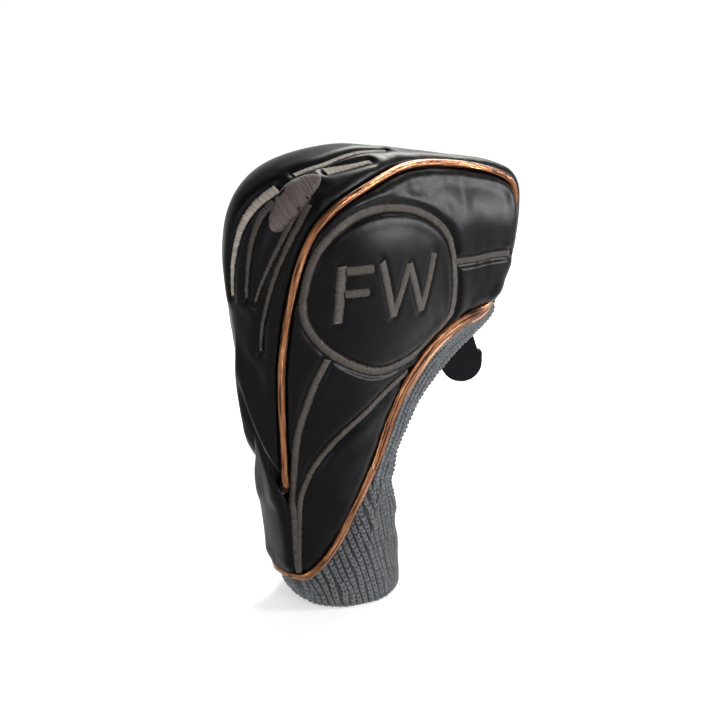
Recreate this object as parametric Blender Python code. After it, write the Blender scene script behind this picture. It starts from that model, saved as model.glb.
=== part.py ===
"""Knit-necked head cover for a fairway wood.

Frame: metres, +Z up, floor at z = 0, +X towards the toe of the club head,
-Y towards the side that carries the letters.  The cover is symmetric about y = 0.
Lengths below are in millimetres and are turned into metres when a mesh is made.
"""
import math

import bmesh
import bpy
import numpy as np
from mathutils import Vector
from mathutils.bvhtree import BVHTree

MM = 0.001
GAP = 0.3

# Shell lay-up, from the outside in
LEATHER = 1.1
FOAM_THIN = 0.8
FOAM_FULL = 3.2
LINING = 0.9
SEAM_TAPER = 14.0
SEAM_MARGIN = 5.0
LONG_STRETCH = 15.0

# Piping, binding and knit
PIPING_RADIUS = 1.6
PIPING_CLEARANCE = 3.0
PIPING_FLANGE = 0.8
PIPING_PROUD = 0.9
BINDING_WALL = 0.9
BINDING_WEB = 1.2
BINDING_LIP = 4.2
BINDING_LIP_SHORT = 1.4  # where it turns the corners of the opening
KNIT_THICK = 1.8
KNIT_HEM_THICK = 4.0
ELASTIC_ROW = 3
ELASTIC_SHARE = 0.25
ELASTIC_THICK = 1.2
ELASTIC_GAP = 2.4

# Stitching
STITCH_HIGH = 0.8
STITCH_LIFT = 0.55
PATCH_LIFT = 0.7
STITCH_WIDE = 4.8
DROP_FROM = 30.0

# Places on the side panel, (x, z) in side view
RING_LINE = (
    (-59.5, 167), (-58.5, 179), (-53, 191.5), (-43, 202), (-27.5, 207.5), (-10, 208), (5, 205),
    (18, 199), (27, 189), (31, 177), (33, 164), (32, 153), (26, 144), (14, 135), (1, 129),
    (-15, 127), (-32, 129), (-45.5, 135.5), (-54.5, 144.5), (-58.5, 155),
)
SWEEP_INNER = (
    (-51, 135), (-54, 124), (-56, 108), (-57, 90), (-57, 72), (-56.5, 54), (-56, 38), (-55.5, 26),
)
SWEEP_OUTER = (
    (3, 123), (-11, 112.5), (-24, 104), (-35, 96), (-43, 86), (-48, 76), (-50.5, 65), (-52, 56),
)
TOE_LINE = ((36, 178), (50, 179.5), (64, 179.5))
LETTER_F = (
    (-48.5, 157), (-43.5, 157), (-43.5, 169), (-31, 169), (-31, 173.5), (-43.5, 173.5),
    (-43.5, 180.5), (-29, 180.5), (-29, 185), (-48.5, 185),
)
LETTER_W = (
    (-26, 185), (-17, 157), (-12, 157), (-5, 178), (2.5, 157), (7.5, 157), (15.5, 185),
    (10.5, 185), (5, 165.5), (-2.5, 185), (-7.5, 185), (-14.5, 165.5), (-21, 185),
)

# Places on the crown band, (station, across: 0 on the front seam, 1 on the ridge)
CROWN_TRAILS = (
    (((9.0, 0.58), (8.55, 0.61), (8.0, 0.67), (7.4, 0.75), (6.8, 0.82), (6.2, 0.88)), (4.6, 1.6), "pale"),
    (((8.6, 0.52), (8.1, 0.52), (7.5, 0.5), (6.9, 0.47)), (3.4, 1.2), "pale"),
    (((8.4, 0.29), (7.9, 0.3), (7.4, 0.34), (6.9, 0.38)), (3.2, 1.2), "dark"),
    (((8.9, 0.15), (8.4, 0.17), (7.8, 0.2), (7.1, 0.24), (6.3, 0.32)), (3.8, 1.2), "dark"),
    (((9.9, 0.62), (10.5, 0.62), (11.2, 0.64), (11.8, 0.68)), (1.6, 1.2), "pale"),
    (((10.4, 0.42), (10.8, 0.4), (11.2, 0.4)), (4.5, 1.5), "pale"),
)
EMBLEM_AT = (9.25, 0.36)
EMBLEM_LONG = 1.6
EMBLEM_WIDE = 0.3
EMBLEM_POINTS = 24

# Number tag
TAG_RADIUS = 12.0
TAG_TURN = math.radians(-32)
TAG_HINGE = (66.9, 22.1, 136.8)
TAG_DISC = (4.0, -27.5)  # centre of the disc, across and up from the hinge
TAG_SHOULDER = 7.0
EYE_HALF_WIDE = 6.6
EYE_BAR = 1.4
PLATE_THICK = 1.4
DIAL_THICK = 1.2
DIAL_RADIUS = 12.4
DIAL_SCALLOPS = 24
LOOP_INNER = 3.1
LOOP_OUTER = 4.1
LOOP_WIDE = 8.0

# Outline of the cover, heel tip to toe: hem, side seam and ridge of the crown.
# Each station: hem (x, y, z), seam (x, y, z), ridge (x, z), puff of the side panel, arch of the band.
STATIONS = (
    ((-62, -9.5, 17.5), (-63.5, -5, 18.5), (-64, 19.5), 0.5, 40),
    ((-55, -15, 18), (-65, -11, 29), (-66, 33), 2, 50),
    ((-45, -17, 25), (-65, -13, 40), (-69, 54), 4, 60),
    ((-36, -18, 36), (-64, -13, 53), (-73, 78), 5, 70),
    ((-29, -18.5, 48), (-63, -11, 66), (-77, 105), 6, 75),
    ((-23, -19, 59), (-65, -13, 83), (-81.5, 135), 7, 72),
    ((-16, -19.5, 73), (-66.5, -15, 104), (-85.5, 162), 8, 62),
    ((-10, -19.5, 88), (-69, -20, 136), (-88, 189), 9, 52),
    ((-4, -19, 101), (-67, -26, 168), (-84, 211), 9, 50),
    ((2, -19, 112), (-62, -34, 196), (-71, 226), 8, 48),
    ((10, -18.5, 122), (-50, -36, 211), (-51, 235), 8, 45),
    ((21, -17, 132), (-29, -31, 220), (-24, 238.5), 9, 42),
    ((33, -15, 139), (2, -20.5, 228), (4, 236), 10, 40),
    ((46, -13.5, 144), (36, -13.5, 227), (38, 231.5), 10, 35),
    ((56, -13, 147), (66, -11, 221), (70, 226), 9, 35),
    ((61, -12.5, 148.5), (78, -11, 213), (85, 218), 8, 50),
    ((64, -12, 149.5), (79, -11, 196), (88.5, 202), 5, 60),
    ((66, -11.5, 150), (75.5, -11, 174), (84, 174), 2.5, 60),
    ((67, -11, 151), (68, -10.5, 158), (75, 153), 0.5, 60),
)
PIPING_END_STATION = 4
TOE_CUT = {"leather": 0.4, "foam": 1.4, "lining": 1.7}  # stations short of the toe hem

# Knit sock, front half: from toe (0) round the front to heel (1), each line from the hem to the floor.
# Each line: where it leaves the hem (station number, or None on the ridge end), then its points.
SOCK_LINES = (
    (0.00, 18.0, (
        (74, 0, 141), (50, 0, 127), (25, 0, 108), (6, 0, 77), (-1, 0, 46), (5, 0, 18), (6.5, 0, 0))),
    (0.15, 17.0, (
        (66, -10, 142), (44, -12, 127), (22, -12, 108), (4.5, -12, 77), (0.5, -12.5, 46), (4, -13, 18),
        (4.5, -13, 0))),
    (0.30, 13.2, (
        (40, -15, 136), (27, -15.5, 120), (12.5, -16, 102), (-1.5, -16.5, 75), (-6, -18.5, 46),
        (-3.5, -21, 18), (-3, -21.5, 0))),
    (0.45, 9.2, (
        (6, -19.5, 107), (2.5, -20, 95), (-2.5, -20.5, 82), (-10, -21, 63), (-16, -22.5, 42),
        (-14.5, -26, 18), (-12.5, -27.5, 0))),
    (0.60, 6.2, (
        (-12, -20.5, 71), (-14, -21, 62), (-17, -21.5, 52), (-21, -23, 40), (-24, -26, 28), (-24, -29, 12),
        (-22, -29, 0))),
    (0.80, 3.0, (
        (-32, -20, 33), (-34, -21.5, 28), (-36, -23, 23), (-38, -25, 17.5), (-40, -26, 12), (-40, -26, 6),
        (-38.5, -25, 0))),
    (0.92, 1.1, (
        (-51, -17.5, 14.5), (-51, -18.5, 12), (-51, -19, 9.5), (-50.5, -19, 7), (-50, -18.5, 4.5),
        (-49, -17.5, 2), (-48, -16.5, 0))),
    (1.00, 0.0, (
        (-61, 0, 14.5), (-60.5, 0, 12), (-59.5, 0, 9.5), (-58, 0, 7), (-56, 0, 4.5), (-53.5, 0, 2),
        (-51.5, 0, 0))),
)


def clear_scene():
    for obj in list(bpy.data.objects):
        bpy.data.objects.remove(obj, do_unlink=True)


def material(name, colour, roughness, metallic=0.0):
    mat = bpy.data.materials.new(name)
    mat.use_nodes = True
    shader = mat.node_tree.nodes["Principled BSDF"]
    shader.inputs["Base Color"].default_value = (*colour, 1.0)
    shader.inputs["Roughness"].default_value = roughness
    shader.inputs["Metallic"].default_value = metallic
    return mat


def add_object(name, mesh, mat, parent=None):
    obj = bpy.data.objects.new(name, mesh)
    bpy.context.scene.collection.objects.link(obj)
    mesh.materials.append(mat)
    obj.parent = parent
    return obj


def mesh_from(name, points, faces):
    """A mesh in metres from points in millimetres, its faces turned outwards."""
    mesh = bpy.data.meshes.new(name)
    mesh.from_pydata([[c * MM for c in p] for p in points], [], faces)
    work = bmesh.new()
    work.from_mesh(mesh)
    bmesh.ops.recalc_face_normals(work, faces=work.faces)
    if work.calc_volume(signed=True) < 0:
        bmesh.ops.reverse_faces(work, faces=work.faces)
    work.to_mesh(mesh)
    work.free()
    mesh.shade_smooth()
    mesh.set_sharp_from_angle(angle=math.radians(40))
    return mesh


# ---------------------------------------------------------------- outline of the shell

def unit(v):
    return v / np.linalg.norm(v)


def row_values():
    rows = [[*hem, *seam, *ridge, puff, arch] for hem, seam, ridge, puff, arch in STATIONS]
    return np.array(rows, float)


ROWS = row_values()


def station_at(k):
    """All values of the outline at a station number between 0 and the last, on a smooth curve."""
    last = len(ROWS) - 1
    i = min(max(int(math.floor(k)), 0), last - 1)
    u = k - i
    slope = [
        (ROWS[min(j + 1, last)] - ROWS[max(j - 1, 0)]) / (min(j + 1, last) - max(j - 1, 0))
        for j in (i, i + 1)
    ]
    return (
        (2 * u**3 - 3 * u**2 + 1) * ROWS[i]
        + (u**3 - 2 * u**2 + u) * slope[0]
        + (3 * u**2 - 2 * u**3) * ROWS[i + 1]
        + (u**3 - u**2) * slope[1]
    )


def side_point(k, u):
    """Outer face of the side panel: u = 0 on the hem, 1 on the seam."""
    row = station_at(k)
    hem, seam, puff = row[0:3], row[3:6], row[8]
    point = hem + (seam - hem) * u
    point[1] -= puff * (1 - abs(2 * u - 1) ** 2.5)
    return point


def band_point(k, v):
    """Outer face of the crown band: v = 0 on the front seam, 1 on the ridge."""
    row = station_at(k)
    seam, ridge = row[3:6], np.array([row[6], 0.0, row[7]])
    arch = math.radians(row[9])
    rise = (math.cos(arch * (1 - v)) - math.cos(arch)) / (1 - math.cos(arch))
    point = seam + (ridge - seam) * rise
    point[1] = seam[1] * math.sin(arch * (1 - v)) / math.sin(arch)
    return point


def outward(point_at, k, s):
    """Unit normal of one of the two surfaces above, pointing out of the cover."""
    step = 0.02
    last = len(ROWS) - 1
    k0, k1 = max(k - step, 0), min(k + step, last)
    s0, s1 = max(s - step, 0), min(s + step, 1)
    along = point_at(k1, s) - point_at(k0, s)
    across = point_at(k, s1) - point_at(k, s0)
    return unit(np.cross(along, across))


def inward_step(point_at, k, s):
    """How the surface moves for each millimetre of depth, mitred where the two surfaces meet."""
    normal = outward(point_at, k, s)
    mitre = unit(outward(side_point, k, 1.0) + outward(band_point, k, 0.0))
    away = np.linalg.norm(point_at(k, s) - side_point(k, 1.0))
    weight = max(0.0, 1 - away / 18.0) ** 2
    direction = unit(normal * (1 - weight) + mitre * weight)
    if point_at is band_point and s >= 1:
        direction[1] = 0.0
        direction = unit(direction)
    return -direction / max(float(direction @ normal), 0.55)


def layer_depths(edge_distance):
    """Depths of the faces of leather, foam and lining, thin at the edges of a panel."""
    grow = min(max((edge_distance - SEAM_MARGIN) / SEAM_TAPER, 0.0), 1.0)
    foam = FOAM_THIN + (FOAM_FULL - FOAM_THIN) * grow * grow * (3 - 2 * grow)
    foam_out = LEATHER + GAP
    lining_out = foam_out + foam + GAP
    return {
        "leather": (0.0, LEATHER),
        "foam": (foam_out, foam_out + foam),
        "lining": (lining_out, lining_out + LINING),
    }


HEM_DEPTH = layer_depths(0)["lining"][1]


def sample_rows(start, stop):
    """Station numbers from start to stop, with one half way along each long stretch."""
    knots = []
    for k in range(len(ROWS) - 1):
        knots.append(float(k))
        if np.linalg.norm(side_point(k + 1, 1.0) - side_point(k, 1.0)) > LONG_STRETCH:
            knots.append(k + 0.5)
    return [start, *[k for k in knots if start + 0.2 < k < stop - 0.2], stop]


def spread(first, last, margin, count):
    """Places from first to last: one a margin in from each end, the rest even between them."""
    margin = min(margin, (last - first) * 0.3)
    inner = np.linspace(first + margin, last - margin, count - 1)
    return [first, *inner, last]


# ---------------------------------------------------------------- panels

def shell_solid(outer, inner, cells):
    """A closed solid between two matching grids of points, over the listed cells."""
    points, index, faces = [], {}, []

    def corner(layer, i, j):
        key = (layer, i, j)
        if key not in index:
            index[key] = len(points)
            points.append((outer if layer == 0 else inner)[i][j])
        return index[key]

    for i, j in cells:
        ring = ((i, j), (i + 1, j), (i + 1, j + 1), (i, j + 1))
        for half in ((0, 1, 2), (0, 2, 3)):
            faces.append([corner(0, *ring[n]) for n in half])
            faces.append([corner(1, *ring[n]) for n in reversed(half)])
        neighbours = ((i, j - 1), (i + 1, j), (i, j + 1), (i - 1, j))
        for side, other in enumerate(neighbours):
            if other in cells:
                continue
            a, b = ring[side], ring[(side + 1) % 4]
            faces.append([corner(0, *b), corner(0, *a), corner(1, *a), corner(1, *b)])
    return points, faces


SIDE_CELLS = 6
WRAP_CELLS = 5
BAND_CELLS = 4


def slant(k, u):
    """Sine of the angle between a station line and the edge that it meets at u = 0 or 1."""
    last = len(ROWS) - 1
    edge = unit(side_point(min(k + 0.1, last), u) - side_point(max(k - 0.1, 0), u))
    line = unit(side_point(k, 1.0) - side_point(k, 0.0))
    return max(float(np.linalg.norm(np.cross(edge, line))), 0.25)


def side_grid(layer, face):
    """Front side panel with the wing that wraps the heel below the end of the piping."""
    heel = PIPING_END_STATION - 0.12
    toe = len(ROWS) - 1 - TOE_CUT[layer]
    below = sample_rows(0.4, heel)
    above = sample_rows(PIPING_END_STATION + 0.12, toe)
    grid = []
    for k in below + above:
        length = np.linalg.norm(side_point(k, 1.0) - side_point(k, 0.0))
        first = min((BINDING_WEB + 4 * GAP) / (length * slant(k, 0.0)), 0.35)
        last = 1 - min(PIPING_CLEARANCE / (length * slant(k, 1.0)), 0.35)
        line = []
        for u in spread(first, last, SEAM_MARGIN / length, SIDE_CELLS):
            edge = min(u * length, (1 - u) * length if k > heel else 99)
            depth = layer_depths(edge)[layer][face]
            line.append(side_point(k, u) + inward_step(side_point, k, u) * depth)
        half = abs(side_point(k, 1.0)[1])
        for v in (0.0, 0.3, 0.55, 0.8, 1.0):
            depth = layer_depths(min((heel - k) * 14, (k + 0.3) * 8))[layer][face]
            point = band_point(k, v) + inward_step(band_point, k, v) * depth
            point[1] = min(point[1], -GAP / 2) if half else point[1]
            line.append(point)
        grid.append(line)
    wide = len(below) - 1
    cells = {
        (i, j)
        for i in range(len(grid) - 1)
        for j in range(SIDE_CELLS + WRAP_CELLS)
        if i < wide or j < SIDE_CELLS
    }
    return grid, cells


def band_grid(layer, face):
    """Crown band, from the front seam over the ridge to the back seam."""
    grid = []
    for k in sample_rows(PIPING_END_STATION + 0.12, len(ROWS) - 1.17):
        seam, ridge = side_point(k, 1.0), band_point(k, 1.0)
        length = np.linalg.norm(ridge - seam)
        first = min(PIPING_CLEARANCE / length, 0.35)
        half = []
        for v in [first, *np.linspace(min(first + SEAM_MARGIN / length, 0.4), 1.0, BAND_CELLS)]:
            end = min((k - PIPING_END_STATION) * 20, (len(ROWS) - 1.17 - k) * 20 + 1)
            depth = layer_depths(min(v * length, end))[layer][face]
            half.append(band_point(k, v) + inward_step(band_point, k, v) * depth)
        grid.append(half + [p * (1, -1, 1) for p in reversed(half[:-1])])
    cells = {(i, j) for i in range(len(grid) - 1) for j in range(2 * BAND_CELLS)}
    return grid, cells


def add_panel(name, make_grid, layer, mat, flip=False):
    outer, cells = make_grid(layer, 0)
    inner, _ = make_grid(layer, 1)
    if flip:
        outer = [[p * (1, -1, 1) for p in line] for line in outer]
        inner = [[p * (1, -1, 1) for p in line] for line in inner]
    points, faces = shell_solid(outer, inner, cells)
    return add_object(name, mesh_from(name, points, faces), mat)


def build_panels(leather, foam, lining):
    for layer, mat in (("leather", leather), ("foam", foam), ("lining", lining)):
        suffix = "panel" if layer == "leather" else layer
        add_panel("front_" + suffix, side_grid, layer, mat)
        add_panel("back_" + suffix, side_grid, layer, mat, flip=True)
        add_panel("crown_" + suffix, band_grid, layer, mat)


# ---------------------------------------------------------------- swept trims

def sweep(rings, closed):
    """A closed solid from matching rings of points, capped unless the sweep is a loop."""
    size, points, faces = len(rings[0]), [], []
    for ring in rings:
        points.extend(ring)
    spans = len(rings) if closed else len(rings) - 1
    for r in range(spans):
        a, b = r * size, ((r + 1) % len(rings)) * size
        for i in range(size):
            j = (i + 1) % size
            faces.append([a + i, a + j, b + j, b + i])
    if not closed:
        faces.append(list(range(size)))
        faces.append([(len(rings) - 1) * size + i for i in reversed(range(size))])
    return points, faces


def build_piping(name, mat, flip=False):
    """Round piping with the flange that is caught in the seam."""
    stop = len(ROWS) - 1.55
    rings = []
    keyhole = [math.radians(a) for a in (25, 70, 115, 160, 200, 245, 290, 335)]
    for k in sample_rows(PIPING_END_STATION + 0.2, stop):
        inward = inward_step(side_point, k, 1.0)
        along = unit(side_point(k + 0.02, 1.0) - side_point(k - 0.02, 1.0))
        down = unit(inward)
        side = unit(np.cross(along, down))
        centre = side_point(k, 1.0) - down * PIPING_PROUD
        ring = [
            centre + down * math.cos(a) * PIPING_RADIUS + side * math.sin(a) * PIPING_RADIUS
            for a in keyhole
        ]
        deep = centre + down * (PIPING_RADIUS + 3.5)
        ring += [deep - side * PIPING_FLANGE / 2, deep + side * PIPING_FLANGE / 2]
        rings.append([p * (1, -1, 1) for p in ring] if flip else ring)
    points, faces = sweep(rings, closed=False)
    add_object(name, mesh_from(name, points, faces), mat)


def hem_path():
    """Points of the hem loop as (surface, station, across), for the front half, toe to heel."""
    last = len(ROWS) - 1
    toe = [(band_point, last, v) for v in (1.0, 0.72, 0.4)] + [(side_point, last, 0.6)]
    front = [(side_point, k, 0.0) for k in reversed(sample_rows(0.36, last - 1.0))]
    heel = [(side_point, 0.0, 0.0), (side_point, 0.0, 1.0), (band_point, 0.0, 1.0)]
    return toe + front + heel


def hem_frame(surface, k, s):
    """Point on the hem, direction into the panel and direction through its thickness."""
    last = len(ROWS) - 1
    point = surface(k, s)
    if k in (0.0, last):
        inner = surface(k + 0.05 if k == 0.0 else k - 0.05, s)
        into = unit(inner - point)
        if surface is side_point and s == 0.0:
            into = unit(into + unit(surface(k, 0.05) - point))
    else:
        length = np.linalg.norm(side_point(k, 1.0) - point)
        into = surface(k, min(BINDING_LIP / (length * slant(k, 0.0)), 0.5)) - point
        along = unit(surface(min(k + 0.1, last), 0.0) - surface(max(k - 0.1, 0.0), 0.0))
        into = unit(into - along * float(into @ along))
    return point, into, inward_step(surface, k, 0.0 if surface is side_point else s)


def build_binding(mat):
    """Folded strip that clasps the edge of the shell all the way round the opening."""
    low, high = -GAP - BINDING_WALL, HEM_DEPTH + GAP + BINDING_WALL
    half = []
    for surface, k, s in hem_path():
        at_end = surface is band_point or not 2.6 < k < len(ROWS) - 2.4
        lip = BINDING_LIP_SHORT if at_end else BINDING_LIP
        section = (
            (lip, low), (0.5, low), (0.0, low + 0.5), (0.0, high - 0.5), (0.5, high),
            (lip, high), (lip, high - BINDING_WALL), (BINDING_WEB, high - BINDING_WALL),
            (BINDING_WEB, low + BINDING_WALL), (lip, low + BINDING_WALL),
        )
        point, into, through = hem_frame(surface, k, s)
        half.append([point + into * a + through * b for a, b in section])
    back = [[p * (1, -1, 1) for p in ring] for ring in half[1:-1]]
    points, faces = sweep(half + back[::-1], closed=True)
    add_object("hem_binding", mesh_from("hem_binding", points, faces), mat)


# ---------------------------------------------------------------- knit sock

def sock_lead(surface, k, s):
    """Where a line of the sock starts: tucked behind the binding, then out past the hem."""
    point, into, through = hem_frame(surface, k, s)
    behind = HEM_DEPTH + GAP + BINDING_WALL + 1.6
    steps = ((2.4, behind + 0.3), (-0.9, behind + 0.1), (-3.6, 1.8))
    return np.array([point + into * a + through * b for a, b in steps])


def sock_line(place):
    """One line of the front half of the sock, from its tucked edge to the floor."""
    places = np.array([line[0] for line in SOCK_LINES])
    paths = [np.array(line[2], float) for line in SOCK_LINES]
    corners = SOCK_LINES[1], SOCK_LINES[-2]
    station = float(np.interp(place, places, [line[1] for line in SOCK_LINES]))
    lead = sock_lead(side_point, min(max(station, corners[1][1]), corners[0][1]), 0.0)
    if place < corners[0][0]:
        share = place / corners[0][0]
        lead = sock_lead(band_point, float(len(ROWS) - 1), 1.0) * (1 - share) + lead * share
    if place > corners[1][0]:
        share = (1 - place) / (1 - corners[1][0])
        lead = sock_lead(band_point, 0.0, 1.0) * (1 - share) + lead * share
    return np.concatenate([lead, smooth_between(paths, places, place)])


def smooth_between(values, places, x):
    """Smooth interpolation of a list of arrays placed along x."""
    i = min(max(int(np.searchsorted(places, x, side="right")) - 1, 0), len(places) - 2)
    width = places[i + 1] - places[i]
    u = (x - places[i]) / width

    def slope(j):
        a, b = max(j - 1, 0), min(j + 1, len(places) - 1)
        return (values[b] - values[a]) / (places[b] - places[a])

    return (
        (2 * u**3 - 3 * u**2 + 1) * values[i]
        + (u**3 - 2 * u**2 + u) * width * slope(i)
        + (3 * u**2 - 2 * u**3) * values[i + 1]
        + (u**3 - u**2) * width * slope(i + 1)
    )


def sock_rings(around_half=11):
    """Rings of the outer face of the sock, from its tucked edge down to the floor."""
    half = [sock_line(i / around_half) for i in range(around_half + 1)]
    for end in (0, -1):
        half[end][:, 1] = 0.0
    loop = half + [line * (1, -1, 1) for line in reversed(half[1:-1])]
    return np.array(loop).transpose(1, 0, 2)


def ring_normals(rings):
    """Outward unit normals of the sock at every point of its rings."""
    around = np.roll(rings, -1, axis=1) - np.roll(rings, 1, axis=1)
    down = np.gradient(rings, axis=0)
    normals = np.cross(around, down)
    normals /= np.linalg.norm(normals, axis=2, keepdims=True)
    centre = rings.mean(axis=1, keepdims=True)
    outside = np.sign(((rings - centre) * normals).sum(axis=2).mean())
    return normals * outside


def build_sock(knit, elastic):
    rings = sock_rings()
    normals = ring_normals(rings)
    normals[-1, :, 2] = 0.0
    normals[-1] /= np.linalg.norm(normals[-1], axis=1, keepdims=True)
    thick = np.full(len(rings), KNIT_THICK)
    thick[-1] = KNIT_HEM_THICK
    thick[-2] = KNIT_HEM_THICK * 0.7
    inner = rings - normals * thick[:, None, None]
    count, around = rings.shape[0], rings.shape[1]
    points = [*rings.reshape(-1, 3), *inner.reshape(-1, 3)]
    shift, faces = count * around, []
    for r in range(count - 1):
        for i in range(around):
            j = (i + 1) % around
            a, b, c, d = r * around + i, r * around + j, (r + 1) * around + j, (r + 1) * around + i
            faces.append([a, b, c, d])
            faces.append([shift + d, shift + c, shift + b, shift + a])
    for r, flip in ((0, False), (count - 1, True)):
        for i in range(around):
            j = (i + 1) % around
            a, b = r * around + i, r * around + j
            quad = [a, b, shift + b, shift + a]
            faces.append(quad[::-1] if flip else quad)
    add_object("knit_sock", mesh_from("knit_sock", points, faces), knit)

    sections = []
    for share in (0.0, ELASTIC_SHARE):
        blend = [a[ELASTIC_ROW] * (1 - share) + a[ELASTIC_ROW + 1] * share for a in (inner, normals)]
        sections.append(blend[0] - blend[1] * ELASTIC_GAP)
        sections.append(blend[0] - blend[1] * (ELASTIC_GAP + ELASTIC_THICK))
    sections = [[top, low, low_in, top_in] for top, top_in, low, low_in in zip(*sections)]
    points, faces = sweep(sections, closed=True)
    add_object("neck_elastic", mesh_from("neck_elastic", points, faces), elastic)


# ---------------------------------------------------------------- stitching

def surface_tree(obj):
    mesh = obj.data
    points = [v.co / MM for v in mesh.vertices]
    return BVHTree.FromPolygons(points, [tuple(p.vertices) for p in mesh.polygons])


def drop(tree, start, direction):
    """Where a straight line from start first meets the surface, and the outward normal there."""
    place, normal, _, _ = tree.ray_cast(Vector(start), Vector(direction))
    if place is None:
        place, normal, _, _ = tree.find_nearest(Vector(start) + Vector(direction) * DROP_FROM)
    place, normal = np.array(place), np.array(normal)
    return place, normal if normal @ np.array(direction) < 0 else -normal


def smooth_line(points, count, closed=False):
    """A smooth curve through the points, with count spans between each two of them."""
    values = [np.array(p, float) for p in points]
    if closed:
        values = values + values[:3]
    curve = []
    for i in range(len(points) if closed else len(points) - 1):
        for n in range(count):
            place = i + n / count + (1 if closed else 0)
            curve.append(smooth_between(values, np.arange(len(values)), place))
    return curve if closed else [*curve, values[-1]]


def side_start(place):
    """Starting point in front of the side panel for a place (x, z) in side view."""
    return np.array([place[0], -DROP_FROM * 3.0, place[1]]), np.array([0.0, 1.0, 0.0])


def crown_start(place):
    """Starting point outside the crown band for a place (station, across)."""
    normal = outward(band_point, place[0], place[1])
    return band_point(place[0], place[1]) + normal * DROP_FROM, -normal


def stitched_line(name, tree, start_of, places, widths, mat, closed=False, flip=False):
    """A raised satin-stitched line laid on a panel, along places joined by a smooth curve."""
    starts = [start_of(p) for p in places]
    size = len(starts)
    rings = []
    for i, (start, direction) in enumerate(starts):
        before = starts[i - 1][0] if closed or i > 0 else start
        after = starts[(i + 1) % size][0] if closed or i < size - 1 else start
        side = unit(np.cross(after - before, direction))
        width = widths[0] + (widths[1] - widths[0]) * i / (size - 1)
        feet = [drop(tree, start + side * width * t, direction) for t in (-0.5, 0.5)]
        ring = [foot + normal * STITCH_LIFT for foot, normal in feet]
        ring += [foot + normal * (STITCH_LIFT + STITCH_HIGH) for foot, normal in reversed(feet)]
        rings.append([p * (1, -1, 1) for p in ring] if flip else ring)
    points, faces = sweep(rings, closed=closed)
    return add_object(name, mesh_from(name, points, faces), mat)


def stitched_patch(name, tree, start_of, outline, steps, mat):
    """A raised satin-stitched shape laid on a panel, inside an outline of places.

    The shape is divided on a grid with these steps, so that it follows the panel's curve.
    """
    work = bmesh.new()
    work.faces.new([work.verts.new((a, b, 0)) for a, b in outline])
    for axis, step in enumerate(steps):
        values = [p[axis] for p in outline]
        normal = (1, 0, 0) if axis == 0 else (0, 1, 0)
        at = min(values) + step
        while at < max(values) - step / 4:
            place = tuple(at * n for n in normal)
            geometry = work.verts[:] + work.edges[:] + work.faces[:]
            bmesh.ops.bisect_plane(work, geom=geometry, dist=1e-6, plane_co=place, plane_no=normal)
            at += step
    bmesh.ops.triangulate(work, faces=work.faces[:])
    work.verts.index_update()
    places = [(v.co.x, v.co.y) for v in work.verts]
    cells = [[v.index for v in f.verts] for f in work.faces]
    rim = [[v.index for v in e.verts] for e in work.edges if len(e.link_faces) == 1]
    work.free()

    feet = [drop(tree, *start_of(p)) for p in places]
    low = [foot + normal * PATCH_LIFT for foot, normal in feet]
    high = [foot + normal * (PATCH_LIFT + STITCH_HIGH) for foot, normal in feet]
    size = len(places)
    faces = [cell[::-1] for cell in cells] + [[size + i for i in cell] for cell in cells]
    faces += [[i, j, size + j, size + i] for i, j in rim]
    return add_object(name, mesh_from(name, low + high, faces), mat)


def build_side_stitching(tree, thread):
    for side, flip in (("front", False), ("back", True)):
        lines = (
            ("ring_stitch", RING_LINE, (STITCH_WIDE, STITCH_WIDE), True),
            ("sweep_inner_stitch", SWEEP_INNER, (4.2, 4.8), False),
            ("sweep_outer_stitch", SWEEP_OUTER, (4.4, 3.6), False),
            ("toe_stitch", TOE_LINE, (4.0, 4.0), False),
        )
        for name, route, widths, closed in lines:
            places = smooth_line(route, 2, closed)
            stitched_line(f"{side}_{name}", tree, side_start, places, widths, thread, closed, flip)


def build_letters(tree, thread):
    stitched_patch("letter_f", tree, side_start, LETTER_F, (5.0, 5.0), thread)
    stitched_patch("letter_w", tree, side_start, LETTER_W, (5.0, 5.0), thread)


def build_crown_stitching(tree, thread, pale):
    for number, (route, widths, colour) in enumerate(CROWN_TRAILS, start=1):
        mat = pale if colour == "pale" else thread
        name = f"crown_trail_{number}"
        stitched_line(name, tree, crown_start, smooth_line(route, 2), widths, mat)
    outline = []
    for i in range(EMBLEM_POINTS):
        angle = 2 * math.pi * i / EMBLEM_POINTS
        taper = 1 + 0.35 * math.cos(angle)
        along = EMBLEM_LONG / 2 * math.cos(angle)
        across = EMBLEM_WIDE / 2 * math.sin(angle) * taper
        outline.append((EMBLEM_AT[0] + along, EMBLEM_AT[1] + across))
    stitched_patch("crown_emblem", tree, crown_start, outline, (0.27, 0.1), thread)


# ---------------------------------------------------------------- number tag

def extruded(name, outline, low, high, mat, parent):
    """A plate with its outline in the tag's own width and height, between two depths."""
    size = len(outline)
    points = [(x, low, z) for x, z in outline] + [(x, high, z) for x, z in outline]
    faces = [list(range(size)), [size + i for i in reversed(range(size))]]
    faces += [[i, size + i, size + (i + 1) % size, (i + 1) % size] for i in range(size)]
    return add_object(name, mesh_from(name, points, faces), mat, parent)


def arc(centre, radius, start, stop, count):
    angles = [math.radians(start + (stop - start) * i / count) for i in range(count + 1)]
    return [(centre[0] + radius * math.cos(a), centre[1] + radius * math.sin(a)) for a in angles]


def cut(obj, outline, low, high, parent):
    """Cuts a straight-sided hole through a plate."""
    name = obj.name + "_cutter_" + str(len(obj.modifiers))
    cutter = extruded(name, outline, low - 5, high + 5, obj.data.materials[0], parent)
    cutter.hide_render = True
    cutter.display_type = "WIRE"
    hole = obj.modifiers.new("hole", "BOOLEAN")
    hole.operation = "DIFFERENCE"
    hole.solver = "EXACT"
    hole.object = cutter


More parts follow.
